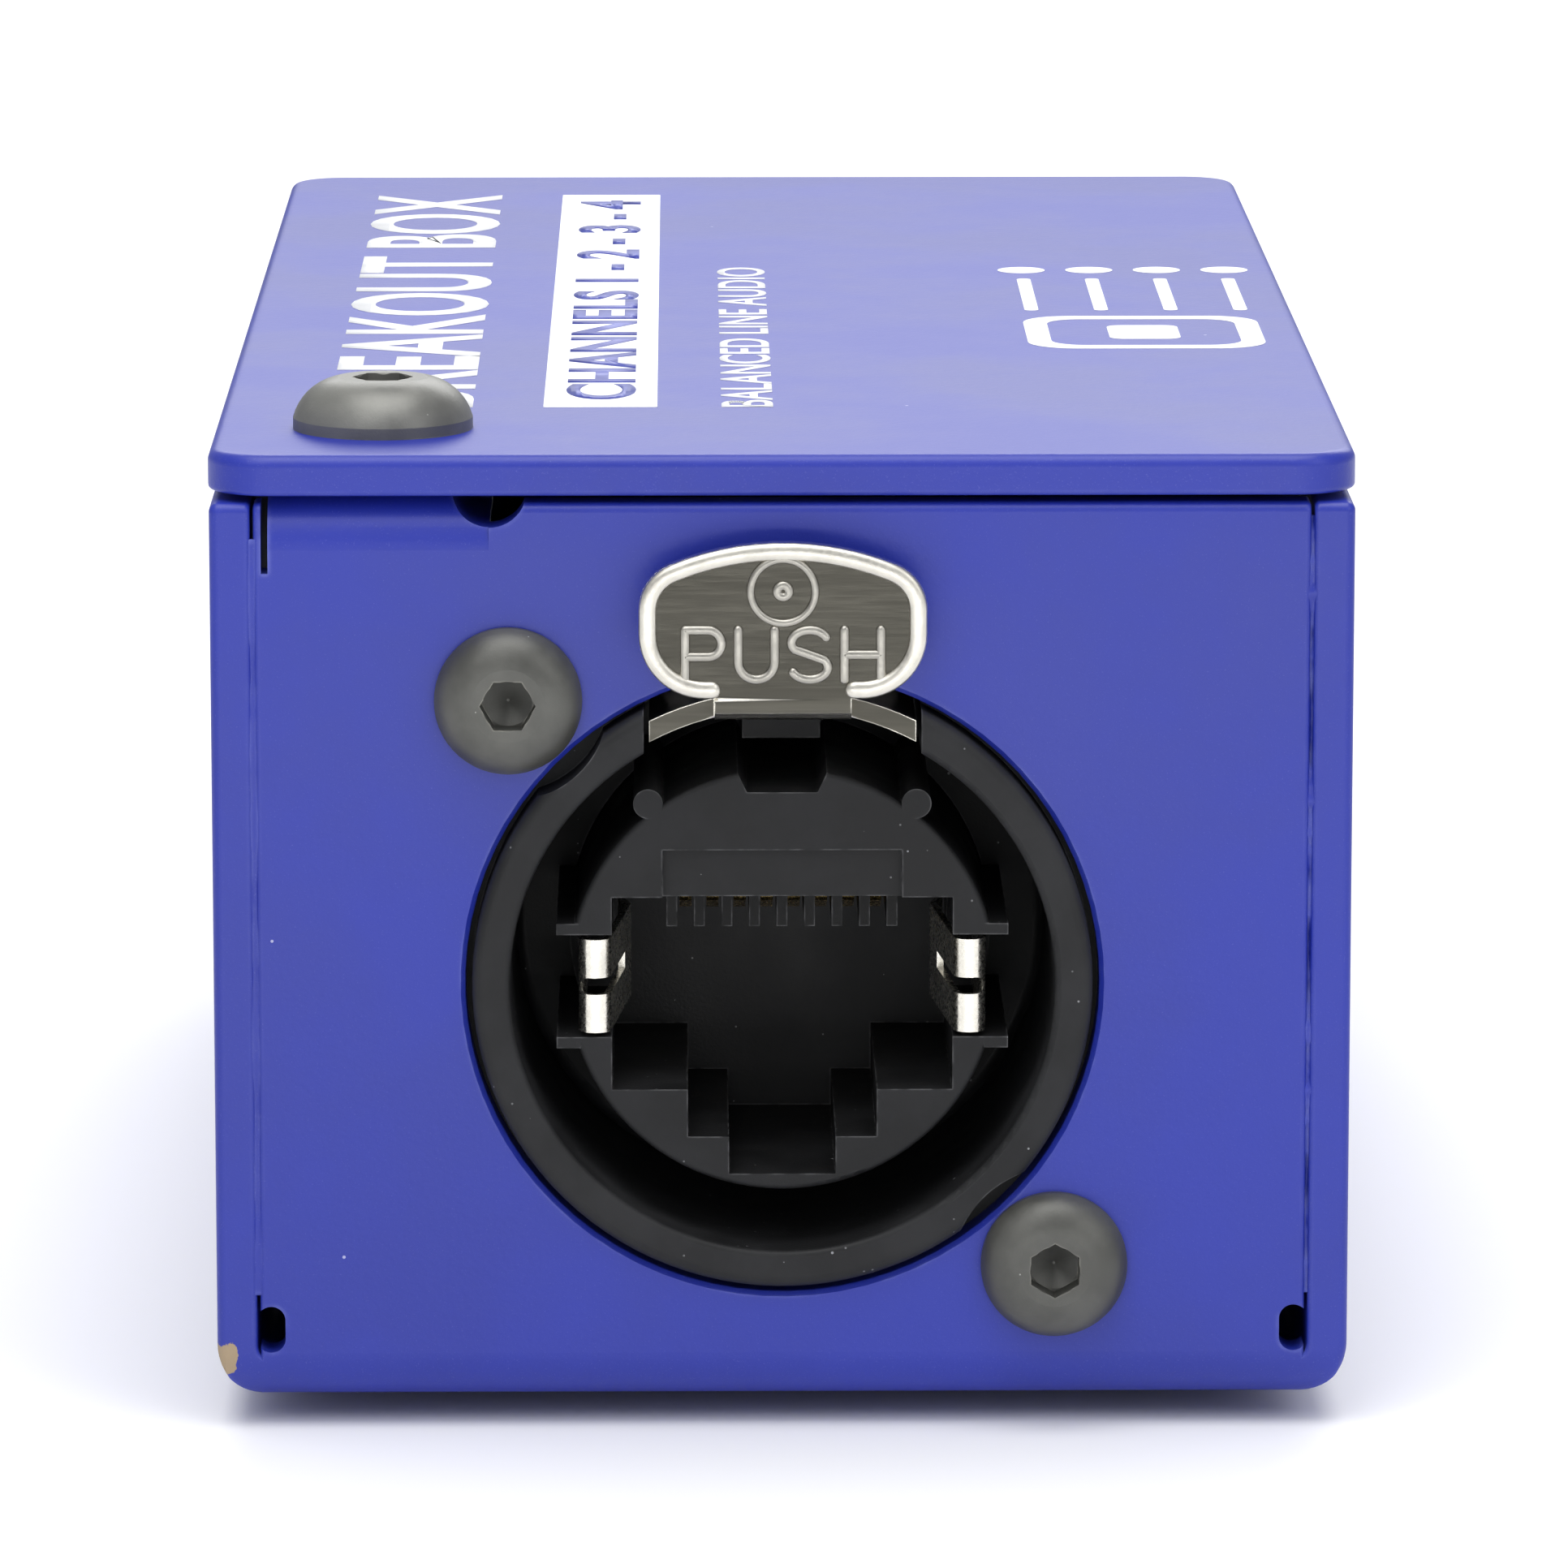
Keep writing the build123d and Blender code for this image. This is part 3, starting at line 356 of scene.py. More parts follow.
def flat_lever(face_y):
    """A copy of the lever with nothing in front of one depth, so that the rim can be a bead."""
    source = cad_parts["latch_lever"]
    mesh = source.data.copy()
    mesh.transform(source.matrix_world)
    work = bmesh.new()
    work.from_mesh(mesh)
    for vertex in work.verts:
        vertex.co.y = max(vertex.co.y, face_y)
    bmesh.ops.remove_doubles(work, verts=work.verts, dist=1e-7)
    bmesh.ops.dissolve_degenerate(work, edges=work.edges, dist=1e-7)
    work.to_mesh(mesh)
    work.free()
    mesh.shade_smooth()
    mesh.set_sharp_from_angle(angle=math.radians(30))
    piece = bpy.data.objects.new("latch_plate", mesh)
    bpy.context.scene.collection.objects.link(piece)
    return piece


# ---- node groups and materials --------------------------------------------------------------
def group_socket(group, name, side, kind="NodeSocketFloat", value=None):
    socket = group.interface.new_socket(name=name, in_out=side, socket_type=kind)
    if value is not None:
        socket.default_value = value
    return socket


def add_node(tree, kind, values=None, **settings):
    """A new node with its settings and the values of its inputs, by name or number."""
    made = tree.nodes.new(kind)
    for key, value in settings.items():
        setattr(made, key, value)
    for key, value in (values or {}).items():
        if isinstance(value, bpy.types.NodeSocket):
            tree.links.new(value, made.inputs[key])
        else:
            made.inputs[key].default_value = value
    return made


def ramp(tree, source, low, high, low_value=0.0, high_value=1.0):
    """Maps a value from low..high to low_value..high_value, smoothly and clamped."""
    made = add_node(tree, "ShaderNodeMapRange",
                    {0: source, 1: low, 2: high, 3: low_value, 4: high_value},
                    interpolation_type="SMOOTHSTEP")
    return made.outputs[0]


def mix_colour(tree, factor, a, b):
    return add_node(tree, "ShaderNodeMix", {0: factor, 6: a, 7: b}, data_type="RGBA").outputs[2]


def maths(tree, operation, a, b=0.0):
    return add_node(tree, "ShaderNodeMath", {0: a, 1: b}, operation=operation).outputs[0]


def start_group(name, inputs, output_names):
    """A new node group with a Vector input, number inputs with defaults, and number outputs."""
    group = bpy.data.node_groups.new(name, "ShaderNodeTree")
    group_socket(group, "Vector", "INPUT", "NodeSocketVector")
    for label, value in inputs.items():
        group_socket(group, label, "INPUT", value=value)
    for label in output_names:
        group_socket(group, label, "OUTPUT")
    return group, group.nodes.new("NodeGroupInput"), group.nodes.new("NodeGroupOutput")


def speck_group():
    """Dust: scattered dots that are one where a cell's nearest point is within a radius."""
    name = "Dust Specks"
    if name in bpy.data.node_groups:
        return bpy.data.node_groups[name]
    group, entry, leave = start_group(
        name, {"Cells per Metre": 900.0, "Size": 0.06, "Share": 0.3}, ("Mask",))
    cells = add_node(group, "ShaderNodeTexVoronoi",
                     {"Vector": entry.outputs["Vector"], "Scale": entry.outputs["Cells per Metre"]},
                     feature="F1")
    near = maths(group, "LESS_THAN", cells.outputs["Distance"], entry.outputs["Size"])
    chosen = add_node(group, "ShaderNodeSeparateColor", {0: cells.outputs["Color"]}).outputs[0]
    some = maths(group, "LESS_THAN", chosen, entry.outputs["Share"])
    both = maths(group, "MULTIPLY", near, some)
    group.links.new(both, leave.inputs["Mask"])
    return group


def grain_group():
    """Surface grain: fine noise for height, and slow noise for patches of tone."""
    name = "Surface Grain"
    if name in bpy.data.node_groups:
        return bpy.data.node_groups[name]
    group, entry, leave = start_group(
        name, {"Fine Scale": 5000.0, "Slow Scale": 120.0}, ("Height", "Tone"))
    fine = add_node(group, "ShaderNodeTexNoise",
                    {"Vector": entry.outputs["Vector"], "Scale": entry.outputs["Fine Scale"],
                     "Detail": 3.0, "Roughness": 0.6})
    slow = add_node(group, "ShaderNodeTexNoise",
                    {"Vector": entry.outputs["Vector"], "Scale": entry.outputs["Slow Scale"],
                     "Detail": 4.0, "Roughness": 0.55})
    group.links.new(fine.outputs[0], leave.inputs["Height"])
    group.links.new(slow.outputs[0], leave.inputs["Tone"])
    return group


def edge_group():
    """Edges: one where the normal, rounded off over a width, turns away from the true normal."""
    name = "Edge Wear"
    if name in bpy.data.node_groups:
        return bpy.data.node_groups[name]
    group, entry, leave = start_group(name, {"Width": 0.0002, "Patch Scale": 900.0}, ("Mask",))
    rounded = add_node(group, "ShaderNodeBevel", {"Radius": entry.outputs["Width"]}, samples=6)
    true = add_node(group, "ShaderNodeNewGeometry")
    turn = add_node(group, "ShaderNodeVectorMath",
                    {0: rounded.outputs[0], 1: true.outputs["Normal"]}, operation="DOT_PRODUCT")
    edge = ramp(group, turn.outputs["Value"], 0.985, 0.86)
    patches = add_node(group, "ShaderNodeTexNoise",
                       {"Vector": entry.outputs["Vector"], "Scale": entry.outputs["Patch Scale"],
                        "Detail": 3.0})
    patchy = ramp(group, patches.outputs[0], 0.35, 0.62)
    group.links.new(maths(group, "MULTIPLY", edge, patchy), leave.inputs["Mask"])
    return group


def new_material(name, colour, roughness, metallic=0.0):
    """A node material, its tree and Principled shader, and the Object coordinates for patterns."""
    material = bpy.data.materials.new(name)
    material.use_nodes = True
    tree = material.node_tree
    shader = tree.nodes["Principled BSDF"]
    shader.inputs["Base Color"].default_value = (*colour, 1)
    shader.inputs["Roughness"].default_value = roughness
    shader.inputs["Metallic"].default_value = metallic
    place = add_node(tree, "ShaderNodeTexCoord").outputs["Object"]
    return material, tree, shader, place


def use_grain(tree, place, fine, slow):
    grain = add_node(tree, "ShaderNodeGroup",
                     {"Vector": place, "Fine Scale": fine, "Slow Scale": slow},
                     node_tree=grain_group())
    return grain.outputs["Height"], grain.outputs["Tone"]


def use_specks(tree, place, cells, size, share):
    specks = add_node(tree, "ShaderNodeGroup",
                      {"Vector": place, "Cells per Metre": cells, "Size": size, "Share": share},
                      node_tree=speck_group())
    return specks.outputs["Mask"]


def use_edges(tree, place, width, patch_scale):
    edges = add_node(tree, "ShaderNodeGroup",
                     {"Vector": place, "Width": width, "Patch Scale": patch_scale},
                     node_tree=edge_group())
    return edges.outputs["Mask"]


def near_point(tree, place, point, radius, wobble):
    """A ragged blob: one within a radius of a point, its distance disturbed by noise."""
    reach = add_node(tree, "ShaderNodeVectorMath", {0: place, 1: point}, operation="DISTANCE")
    noise = use_grain(tree, place, 2600.0, 1400.0)[1]
    push = maths(tree, "MULTIPLY", maths(tree, "SUBTRACT", noise, 0.5), wobble)
    return ramp(tree, maths(tree, "ADD", reach.outputs["Value"], push), radius, radius * 0.86)


def bump(tree, shader, height, strength, distance):
    made = add_node(tree, "ShaderNodeBump",
                    {"Strength": strength, "Distance": distance, "Height": height})
    tree.links.new(made.outputs[0], shader.inputs["Normal"])


def shade(colour, factor):
    """A colour made lighter or darker, with full alpha."""
    return (*[min(1.0, c * factor) for c in colour], 1)


def paint_material(colour):
    """Satin powder coat: orange-peel bump, tone patches, edges painted lighter blue as a painted
    highlight, light dust and one chip.
    """
    material, tree, shader, place = new_material("Powder coat", colour, 0.40)
    height, tone = use_grain(tree, place, 3000.0, 90.0)
    base = mix_colour(tree, ramp(tree, tone, 0.35, 0.65), shade(colour, 0.94), shade(colour, 1.06))
    fine = use_grain(tree, place, 14000.0, 9000.0)[0]
    base = mix_colour(tree, ramp(tree, fine, 0.60, 0.72, 0, 0.16), base, (0.22, 0.25, 0.60, 1))
    # Edges painted lighter blue: a painted highlight along the edges.
    lighter_edges = use_edges(tree, place, 0.35 * MM, 700.0)
    base = mix_colour(tree, maths(tree, "MULTIPLY", lighter_edges, 0.30), base, (0.26, 0.30, 0.66, 1))
    dust = use_specks(tree, place, 420.0, 0.028, 0.25)
    base = mix_colour(tree, maths(tree, "MULTIPLY", dust, 0.6), base, (0.60, 0.62, 0.78, 1))
    corner = (TRAY_LOW.x + 0.35 * MM, TRAY_LOW.y + 0.25 * MM, TRAY_LOW.z + 1.7 * MM)
    chip = near_point(tree, place, corner, 0.58 * MM, 1.5 * MM)
    base = mix_colour(tree, chip, base, (0.36, 0.27, 0.17, 1))
    tree.links.new(base, shader.inputs["Base Color"])
    rough = ramp(tree, tone, 0.3, 0.7, 0.37, 0.45)
    rough = maths(tree, "ADD", rough, maths(tree, "MULTIPLY", chip, 0.3))
    tree.links.new(rough, shader.inputs["Roughness"])
    tall = maths(tree, "SUBTRACT", height, maths(tree, "MULTIPLY", chip, 3.0))
    bump(tree, shader, tall, 0.2, 0.06 * MM)
    return material


def plastic_material(name, colour):
    """Glass-filled nylon: fine moulded texture, greyed edges and scattered pale dust."""
    material, tree, shader, place = new_material(name, colour, 0.5)
    height, tone = use_grain(tree, place, 9000.0, 260.0)
    base = mix_colour(tree, ramp(tree, tone, 0.35, 0.65), shade(colour, 0.8), shade(colour, 1.3))
    lighter_edges = use_edges(tree, place, 0.12 * MM, 1500.0)
    base = mix_colour(tree, maths(tree, "MULTIPLY", lighter_edges, 0.55), base, (0.16, 0.16, 0.165, 1))
    dust = use_specks(tree, place, 1100.0, 0.06, 0.13)
    lint = use_specks(tree, place, 3000.0, 0.12, 0.06)
    both = maths(tree, "MAXIMUM", maths(tree, "MULTIPLY", dust, 0.55),
                 maths(tree, "MULTIPLY", lint, 0.3))
    base = mix_colour(tree, both, base, (0.42, 0.42, 0.44, 1))
    tree.links.new(base, shader.inputs["Base Color"])
    shader.inputs["Specular IOR Level"].default_value = 0.22
    tree.links.new(ramp(tree, tone, 0.3, 0.7, 0.44, 0.58), shader.inputs["Roughness"])
    bump(tree, shader, height, 0.35, 0.03 * MM)
    return material


def oxide_material(name, colour):
    """Black-oxide steel: dark metal, rubbed lighter on its edges, with fine pits and dust."""
    material, tree, shader, place = new_material(name, colour, 0.40, 0.45)
    height, tone = use_grain(tree, place, 12000.0, 420.0)
    base = mix_colour(tree, ramp(tree, tone, 0.35, 0.7), shade(colour, 0.85), shade(colour, 1.2))
    lighter_edges = use_edges(tree, place, 0.12 * MM, 1500.0)
    base = mix_colour(tree, maths(tree, "MULTIPLY", lighter_edges, 0.6), base, (0.30, 0.29, 0.25, 1))
    dust = use_specks(tree, place, 1600.0, 0.05, 0.14)
    base = mix_colour(tree, maths(tree, "MULTIPLY", dust, 0.55), base, (0.45, 0.45, 0.42, 1))
    tree.links.new(base, shader.inputs["Base Color"])
    tree.links.new(ramp(tree, tone, 0.3, 0.7, 0.36, 0.48), shader.inputs["Roughness"])
    bump(tree, shader, height, 0.35, 0.02 * MM)
    return material


def metal_material(name, colour, smooth, rough, stretch=(1, 1, 1), strength=0.1):
    """Plated metal; stretch below one along an axis draws the grain out into brushed lines."""
    material, tree, shader, place = new_material(name, colour, smooth, 1.0)
    mapping = add_node(tree, "ShaderNodeMapping", {"Vector": place, "Scale": stretch})
    height, tone = use_grain(tree, mapping.outputs[0], 7000.0, 700.0)
    base = mix_colour(tree, ramp(tree, tone, 0.3, 0.7), shade(colour, 0.88), shade(colour, 1.06))
    tree.links.new(base, shader.inputs["Base Color"])
    tree.links.new(ramp(tree, height, 0.3, 0.7, smooth, rough), shader.inputs["Roughness"])
    bump(tree, shader, height, strength, 0.00003)
    return material


def pressed_material(name, bright, front_reflection):
    """Pressed nickel plate: flat faces towards the front painted dark as a painted dark reflection,
    with brushed grain; edges and bends keep the bright nickel.
    """
    material, tree, shader, place = new_material(name, bright, 0.2, 1.0)
    mapping = add_node(tree, "ShaderNodeMapping", {"Vector": place, "Scale": (0.06, 1, 1)})
    height, tone = use_grain(tree, mapping.outputs[0], 7000.0, 900.0)
    normal = add_node(tree, "ShaderNodeNewGeometry").outputs["Normal"]
    # Flat faces that look to the front take the dark colour: a painted dark reflection.
    front = add_node(tree, "ShaderNodeSeparateXYZ", {0: normal}).outputs["Y"]
    flat = ramp(tree, front, -0.90, -0.985)
    edge = use_edges(tree, place, 0.09 * MM, 300.0)
    painted_dark_front = maths(tree, "MULTIPLY", flat, maths(tree, "SUBTRACT", 1.0, edge))
    patchy = mix_colour(tree, ramp(tree, tone, 0.3, 0.7), shade(front_reflection, 0.8), shade(front_reflection, 1.35))
    base = mix_colour(tree, painted_dark_front, shade(bright, 1.0), patchy)
    tree.links.new(base, shader.inputs["Base Color"])
    tree.links.new(ramp(tree, painted_dark_front, 0, 1, 0.18, 0.42), shader.inputs["Roughness"])
    bump(tree, shader, height, 0.35, 0.02 * MM)
    return material


def plain_material(name, colour, roughness, fine=4000.0, strength=0.25, contrast=0.2):
    """A non-metal with grain and patches of tone."""
    material, tree, shader, place = new_material(name, colour, roughness)
    height, tone = use_grain(tree, place, fine, fine / 25)
    base = mix_colour(tree, ramp(tree, tone, 0.35, 0.65), shade(colour, 1 - contrast),
                      shade(colour, 1 + contrast))
    tree.links.new(base, shader.inputs["Base Color"])
    rough = ramp(tree, tone, 0.3, 0.7, roughness - 0.05, roughness + 0.07)
    tree.links.new(rough, shader.inputs["Roughness"])
    bump(tree, shader, height, strength, 0.00004)
    return material


def dress(node, material):
    """Gives a carried-over CAD node its finish."""
    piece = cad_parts[node]
    piece.data.materials.clear()
    piece.data.materials.append(material)


def finish_piece(piece, material, body):
    piece.data.materials.clear()
    piece.data.materials.append(material)
    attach(piece, body)
    return piece


def material(name):
    return bpy.data.materials[name]


# ---- operators ------------------------------------------------------------------------------
class BOX_OT_finishes(bpy.types.Operator):
    """Coats every part that comes from the CAD model"""

    bl_idname = "box.finishes"
    bl_label = "Coat the parts"

    def execute(self, context):
        colours = context.scene.box_finish
        paint = paint_material(colours.paint)
        plastic = plastic_material("Black nylon", colours.plastic)
        # The recessed insert takes a darker copy of the nylon: painted shade.
        insert_painted_shade = plastic_material("Insert plastic, painted shade", shade(colours.plastic, 0.8)[:3])
        # The contact carrier deep in the socket takes a near-black copy of the nylon: painted
        # shade.
        carrier_painted_shade = plastic_material("Carrier plastic, painted shade", shade(colours.plastic, 0.15)[:3])
        oxide = oxide_material("Black oxide", colours.black_oxide)
        # The lid screw takes a lighter copy of the black oxide: painted light falling on its head
        # from above.
        painted_lit_oxide = oxide_material("Black oxide, painted highlight", shade(colours.black_oxide, 1.9)[:3])
        nickel = metal_material("Nickel", colours.nickel, 0.2, 0.34)
        pressed = pressed_material("Pressed nickel", colours.nickel, colours.painted_reflection_nickel)
        zinc = metal_material("Zinc", (0.6, 0.6, 0.62), 0.3, 0.45)
        gold = metal_material("Gold", (0.83, 0.62, 0.25), 0.18, 0.3)
        rubber = plain_material("Pad rubber", (0.022, 0.022, 0.023), 0.78, 3000.0, 0.5, 0.3)
        board = plain_material("Solder mask", (0.012, 0.11, 0.05), 0.3, 1500.0, 0.1)
        wire = plain_material("Wire insulation", (0.12, 0.32, 0.05), 0.4, 2500.0, 0.1)
        finish = {
            paint: ("case_tray", "lid"),
            painted_lit_oxide: ("lid_screw",),
            oxide: ("connector_screws",),
            plastic: ("connector_shell", "board_header", "gland_body", "gland_cap",
                      "gland_locknut"),
            insert_painted_shade: ("jack_insert",),
            carrier_painted_shade: ("contact_carrier",),
            pressed: ("latch_lever",),
            nickel: ("shield_spring_left", "shield_spring_right"),
            zinc: ("lid_clinch_nut", "connector_nuts", "latch_pin", "latch_spring", "board_screws",
                   "earth_tag"),
            gold: ("jack_contacts", "header_pins"),
            rubber: ("base_pad", "gland_gasket", "gland_seal"),
            board: ("circuit_board",),
            wire: ("earth_wire",),
        }
        for coat, nodes in finish.items():
            for node in nodes:
                dress(node, coat)
        return {"FINISHED"}


def text_outline(words, height, weight):
    """The words as a flat mesh on the XY plane, with a cap height, starting at the origin.

    weight is how far the outline is set outwards, as a share of the letter size.
    """
    curve = bpy.data.curves.new(words, "FONT")
    curve.body = words
    curve.offset = weight
    curve.resolution_u = 6
    mesh = flat_mesh(curve)
    points = read_points(mesh)
    low, high = points.min(0), points.max(0)
    points -= (low[0], low[1], 0)
    points *= height / (high[1] - low[1])
    mesh.vertices.foreach_set("co", points.ravel())
    return mesh


def read_points(mesh):
    points = np.zeros(len(mesh.vertices) * 3)
    mesh.vertices.foreach_get("co", points)
    return points.reshape(-1, 3)


def thick_print(name, mesh, thickness):
    """A flat mesh made a closed sheet of ink on the lid, by extruding it upwards."""
    work = bmesh.new()
    work.from_mesh(mesh)
    bmesh.ops.remove_doubles(work, verts=work.verts, dist=1e-7)
    bmesh.ops.recalc_face_normals(work, faces=work.faces)
    made = bmesh.ops.extrude_face_region(work, geom=list(work.faces))
    tops = [item for item in made["geom"] if isinstance(item, bmesh.types.BMVert)]
    bmesh.ops.translate(work, verts=tops, vec=(0, 0, thickness))
    bmesh.ops.recalc_face_normals(work, faces=work.faces)
    result = bpy.data.meshes.new(name)
    work.to_mesh(result)
    work.free()
    piece = bpy.data.objects.new(name, result)
    bpy.context.scene.collection.objects.link(piece)
    return piece


def on_lid(mesh, left, front, reach=None):
    """Turns a flat text mesh so that it reads from the front to the rear and puts it on the lid.

    left is the distance from the lid's left side to the tops of the letters, front the distance
    from the lid's front to the first letter, and reach, where given, the length of the line.
    """
    points = read_points(mesh)
    if reach:
        points[:, 0] *= reach / points[:, 0].max()
    top = points[:, 1].max()
    placed = np.empty_like(points)
    placed[:, 0] = LID_LOW.x + left + (top - points[:, 1])
    placed[:, 1] = LID_LOW.y + front + points[:, 0]
    placed[:, 2] = LID_HIGH.z
    mesh.vertices.foreach_set("co", placed.ravel())
    return mesh


def flat_mesh(curve):
    """The filled area of a flat curve, as a mesh."""
    holder = bpy.data.objects.new("outline", curve)
    bpy.context.scene.collection.objects.link(holder)
    bpy.context.view_layer.update()
    mesh = bpy.data.meshes.new_from_object(holder)
    bpy.data.objects.remove(holder)
    return mesh


def flat_shape(name, loops):
    """A flat mesh on the XY plane from closed loops of points in metres; inner loops are holes."""
    curve = bpy.data.curves.new(name, "CURVE")
    curve.dimensions = "2D"
    curve.fill_mode = "BOTH"
    for loop in loops:
        spline = curve.splines.new("POLY")
        spline.points.add(len(loop) - 1)
        coords = np.zeros((len(loop), 4))
        coords[:, :2] = np.asarray(loop) / MM
        coords[:, 3] = 1
        spline.points.foreach_set("co", coords.ravel())
        spline.use_cyclic_u = True
    mesh = flat_mesh(curve)
    mesh.transform(Matrix.Scale(MM, 4))
    return mesh


def round_square(x, y, half_x, half_y, radius):
    """Closed loop of a rounded rectangle about a point."""
    corners = [(half_x - radius, half_y - radius, 0), (radius - half_x, half_y - radius, 90),
               (radius - half_x, radius - half_y, 180), (half_x - radius, radius - half_y, 270)]
    return np.vstack([arc_points(x + cx, y + cy, radius, start, start + 90, 8)
                      for cx, cy, start in corners])


def pictogram(size):
    """One socket joined to four channels, along +X: a ringed square, four lines and four dots."""
    reach, pitch = size * 2.6, size * 0.3
    half = size / 2
    loops = [round_square(half, 0, half, half, size * 0.2),
             round_square(half, 0, half * 0.8, half * 0.8, size * 0.14),
             round_square(half, 0, half * 0.42, half * 0.3, size * 0.06)]
    for i in range(4):
        y = (i - 1.5) * pitch
        loops.append(round_square(size + reach * 0.27, y, reach * 0.2, size * 0.03, size * 0.028))
        loops.append(arc_points(size + reach * 0.58, y, size * 0.105, 0, 350, 28))
    mesh = flat_shape("pictogram", loops)
    mesh.transform(Matrix.Translation((0, half, 0)))
    return mesh


class BOX_OT_lid_print(bpy.types.Operator):
    """Screen-prints the title, the channel bar, the note and the pictogram on the lid"""

    bl_idname = "box.lid_print"
    bl_label = "Print the lid"

    def execute(self, context):
        sizes = context.scene.box_print
        ink = plain_material("White ink", context.scene.box_finish.ink, 0.5, 6000.0, 0.2, 0.05)
        title = on_lid(text_outline("BREAKOUT BOX", sizes.title_height, 0.02), sizes.title_left,
                       sizes.print_front, sizes.print_length)
        half_length, half_width = sizes.print_length / 2, sizes.bar_width / 2
        bar = flat_shape("bar", [round_square(0, 0, half_length, half_width, 0.1 * MM)])
        bar.transform(Matrix.Translation((half_length, half_width, 0)))
        bar = on_lid(bar, sizes.bar_left, sizes.print_front)
        letter_height = sizes.bar_width * 0.62
        letters = on_lid(text_outline("CHANNELS 1 - 2 - 3 - 4", letter_height, 0.03),
                         sizes.bar_left + (sizes.bar_width - letter_height) / 2,
                         sizes.print_front + 2 * MM, sizes.print_length - 4 * MM)
        letters.transform(Matrix.Translation((0, 0, sizes.ink_thickness)))
        note = on_lid(text_outline("BALANCED LINE AUDIO", sizes.note_height, 0.012),
                      sizes.note_left, sizes.print_front, sizes.print_length * 0.62)
        sign = on_lid(pictogram(sizes.sign_size), sizes.sign_left, sizes.sign_front)
        pieces = (("print_title", title), ("print_bar", bar), ("print_note", note),
                  ("print_sign", sign))
        for name, mesh in pieces:
            piece = thick_print(name, mesh, sizes.ink_thickness)
            finish_piece(piece, ink, "case")
        letters = thick_print("print_bar_letters", letters, sizes.ink_thickness / 2)
        finish_piece(letters, material("Powder coat"), "case")
        return {"FINISHED"}


def tab_path(inset, open_half, count=200):
    """The latch tab's outline moved inwards by inset, as (x, z) points about the tab's middle.

    Straight foot and sides, round lower corners, a crown that is an arc of one large circle about a
    point on the middle line, and two shoulder arcs. A shoulder's centre lies where a circle of the
    crown's radius less the shoulder's meets the line that is the shoulder's radius inside the side.
    The path runs from one side of the neck to the other.
    """
    half_x = (TAB_HIGH.x - TAB_LOW.x) / 2
    half_z = TAB_HEIGHT / 2
    crown_z = half_z - TAB_CROWN
    side_x = half_x - TAB_SHOULDER
    shoulder_z = crown_z + math.sqrt((TAB_CROWN - TAB_SHOULDER) ** 2 - side_x ** 2)
    tangent = math.degrees(math.atan2(shoulder_z - crown_z, side_x))
    corner_x, corner_z = half_x - TAB_CORNER, TAB_CORNER - half_z
    outline = joined(
        line_points((-open_half, -half_z), (-corner_x, -half_z)),
        arc_points(-corner_x, corner_z, TAB_CORNER, 270, 180),
        line_points((-half_x, corner_z), (-half_x, shoulder_z)),
        arc_points(-side_x, shoulder_z, TAB_SHOULDER, 180, 180 - tangent),
        arc_points(0, crown_z, TAB_CROWN, 180 - tangent, tangent, 60),
        arc_points(side_x, shoulder_z, TAB_SHOULDER, tangent, 0),
        line_points((half_x, shoulder_z), (half_x, corner_z)),
        arc_points(corner_x, corner_z, TAB_CORNER, 0, -90),
        line_points((corner_x, -half_z), (open_half, -half_z)))
    step = np.concatenate([[0], np.cumsum(np.linalg.norm(np.diff(outline, axis=0), axis=1))])
    at = np.linspace(0, step[-1], count)
    outline = np.stack([np.interp(at, step, outline[:, k]) for k in (0, 1)], 1)
    ahead = np.gradient(outline, axis=0)
    ahead /= np.linalg.norm(ahead, axis=1)[:, None]
    inward = np.stack([ahead[:, 1], -ahead[:, 0]], 1)
    return outline + inward * inset


def push_strokes(height):
    """Centre lines of the letters P U S H, drawn left to right and centred on the origin."""
    wide, gap = height * 0.727, height * 0.333
    bowl = height * 0.27
    starts = [i * (wide + gap) for i in range(4)]
    p, u, s_left, h_left = starts
    s_side = wide / 2
    strokes = [
        line_points((p, 0), (p, height)),
        joined(line_points((p, height), (p + wide - bowl, height)),
               arc_points(p + wide - bowl, height - bowl, bowl, 90, -90),
               line_points((p + wide - bowl, height - 2 * bowl), (p, height - 2 * bowl))),
        joined(line_points((u, height), (u, s_side)),
               arc_points(u + s_side, s_side, s_side, 180, 360),
               line_points((u + wide, s_side), (u + wide, height))),
        s_curve(s_left, wide, height),
        line_points((h_left, 0), (h_left, height)),
        line_points((h_left + wide, 0), (h_left + wide, height)),
        line_points((h_left, height / 2), (h_left + wide, height / 2)),
    ]
    middle = np.array([(h_left + wide) / 2, height / 2])
    return [stroke - middle for stroke in strokes]


def s_curve(left, wide, height):
    """Centre line of an S: two oval arcs a quarter of the height, joined by a slanting middle."""
    quarter = height / 4
    across = wide / 2
    upper = np.radians(np.linspace(25, 215, 18))
    lower = np.radians(np.linspace(35, -155, 18))
    top = np.stack([left + across + across * np.cos(upper),
                    3 * quarter + quarter * np.sin(upper)], 1)
    foot = np.stack([left + across + across * np.cos(lower),
                     quarter + quarter * np.sin(lower)], 1)
    return joined(top, line_points(top[-1], foot[0], 8), foot)


def closed_sheet(name, front, back):
    """A closed solid between two grids of the same size, with walls round the border."""
    rows, columns = front.shape[:2]
    count = rows * columns
    faces = grid_faces(rows, columns)
    index = np.arange(count).reshape(rows, columns)
    border = np.concatenate([index[0, :-1], index[:-1, -1], index[-1, :0:-1], index[:0:-1, 0]])
    after = np.roll(border, -1)
    walls = np.stack([border, after, after + count, border + count], 1)
    every = np.vstack([faces, faces[:, ::-1] + count, walls])
    piece = mesh_object(name, np.vstack([front.reshape(-1, 3), back.reshape(-1, 3)]),
                        [tuple(face) for face in every])
    face_outwards(piece)
    return piece


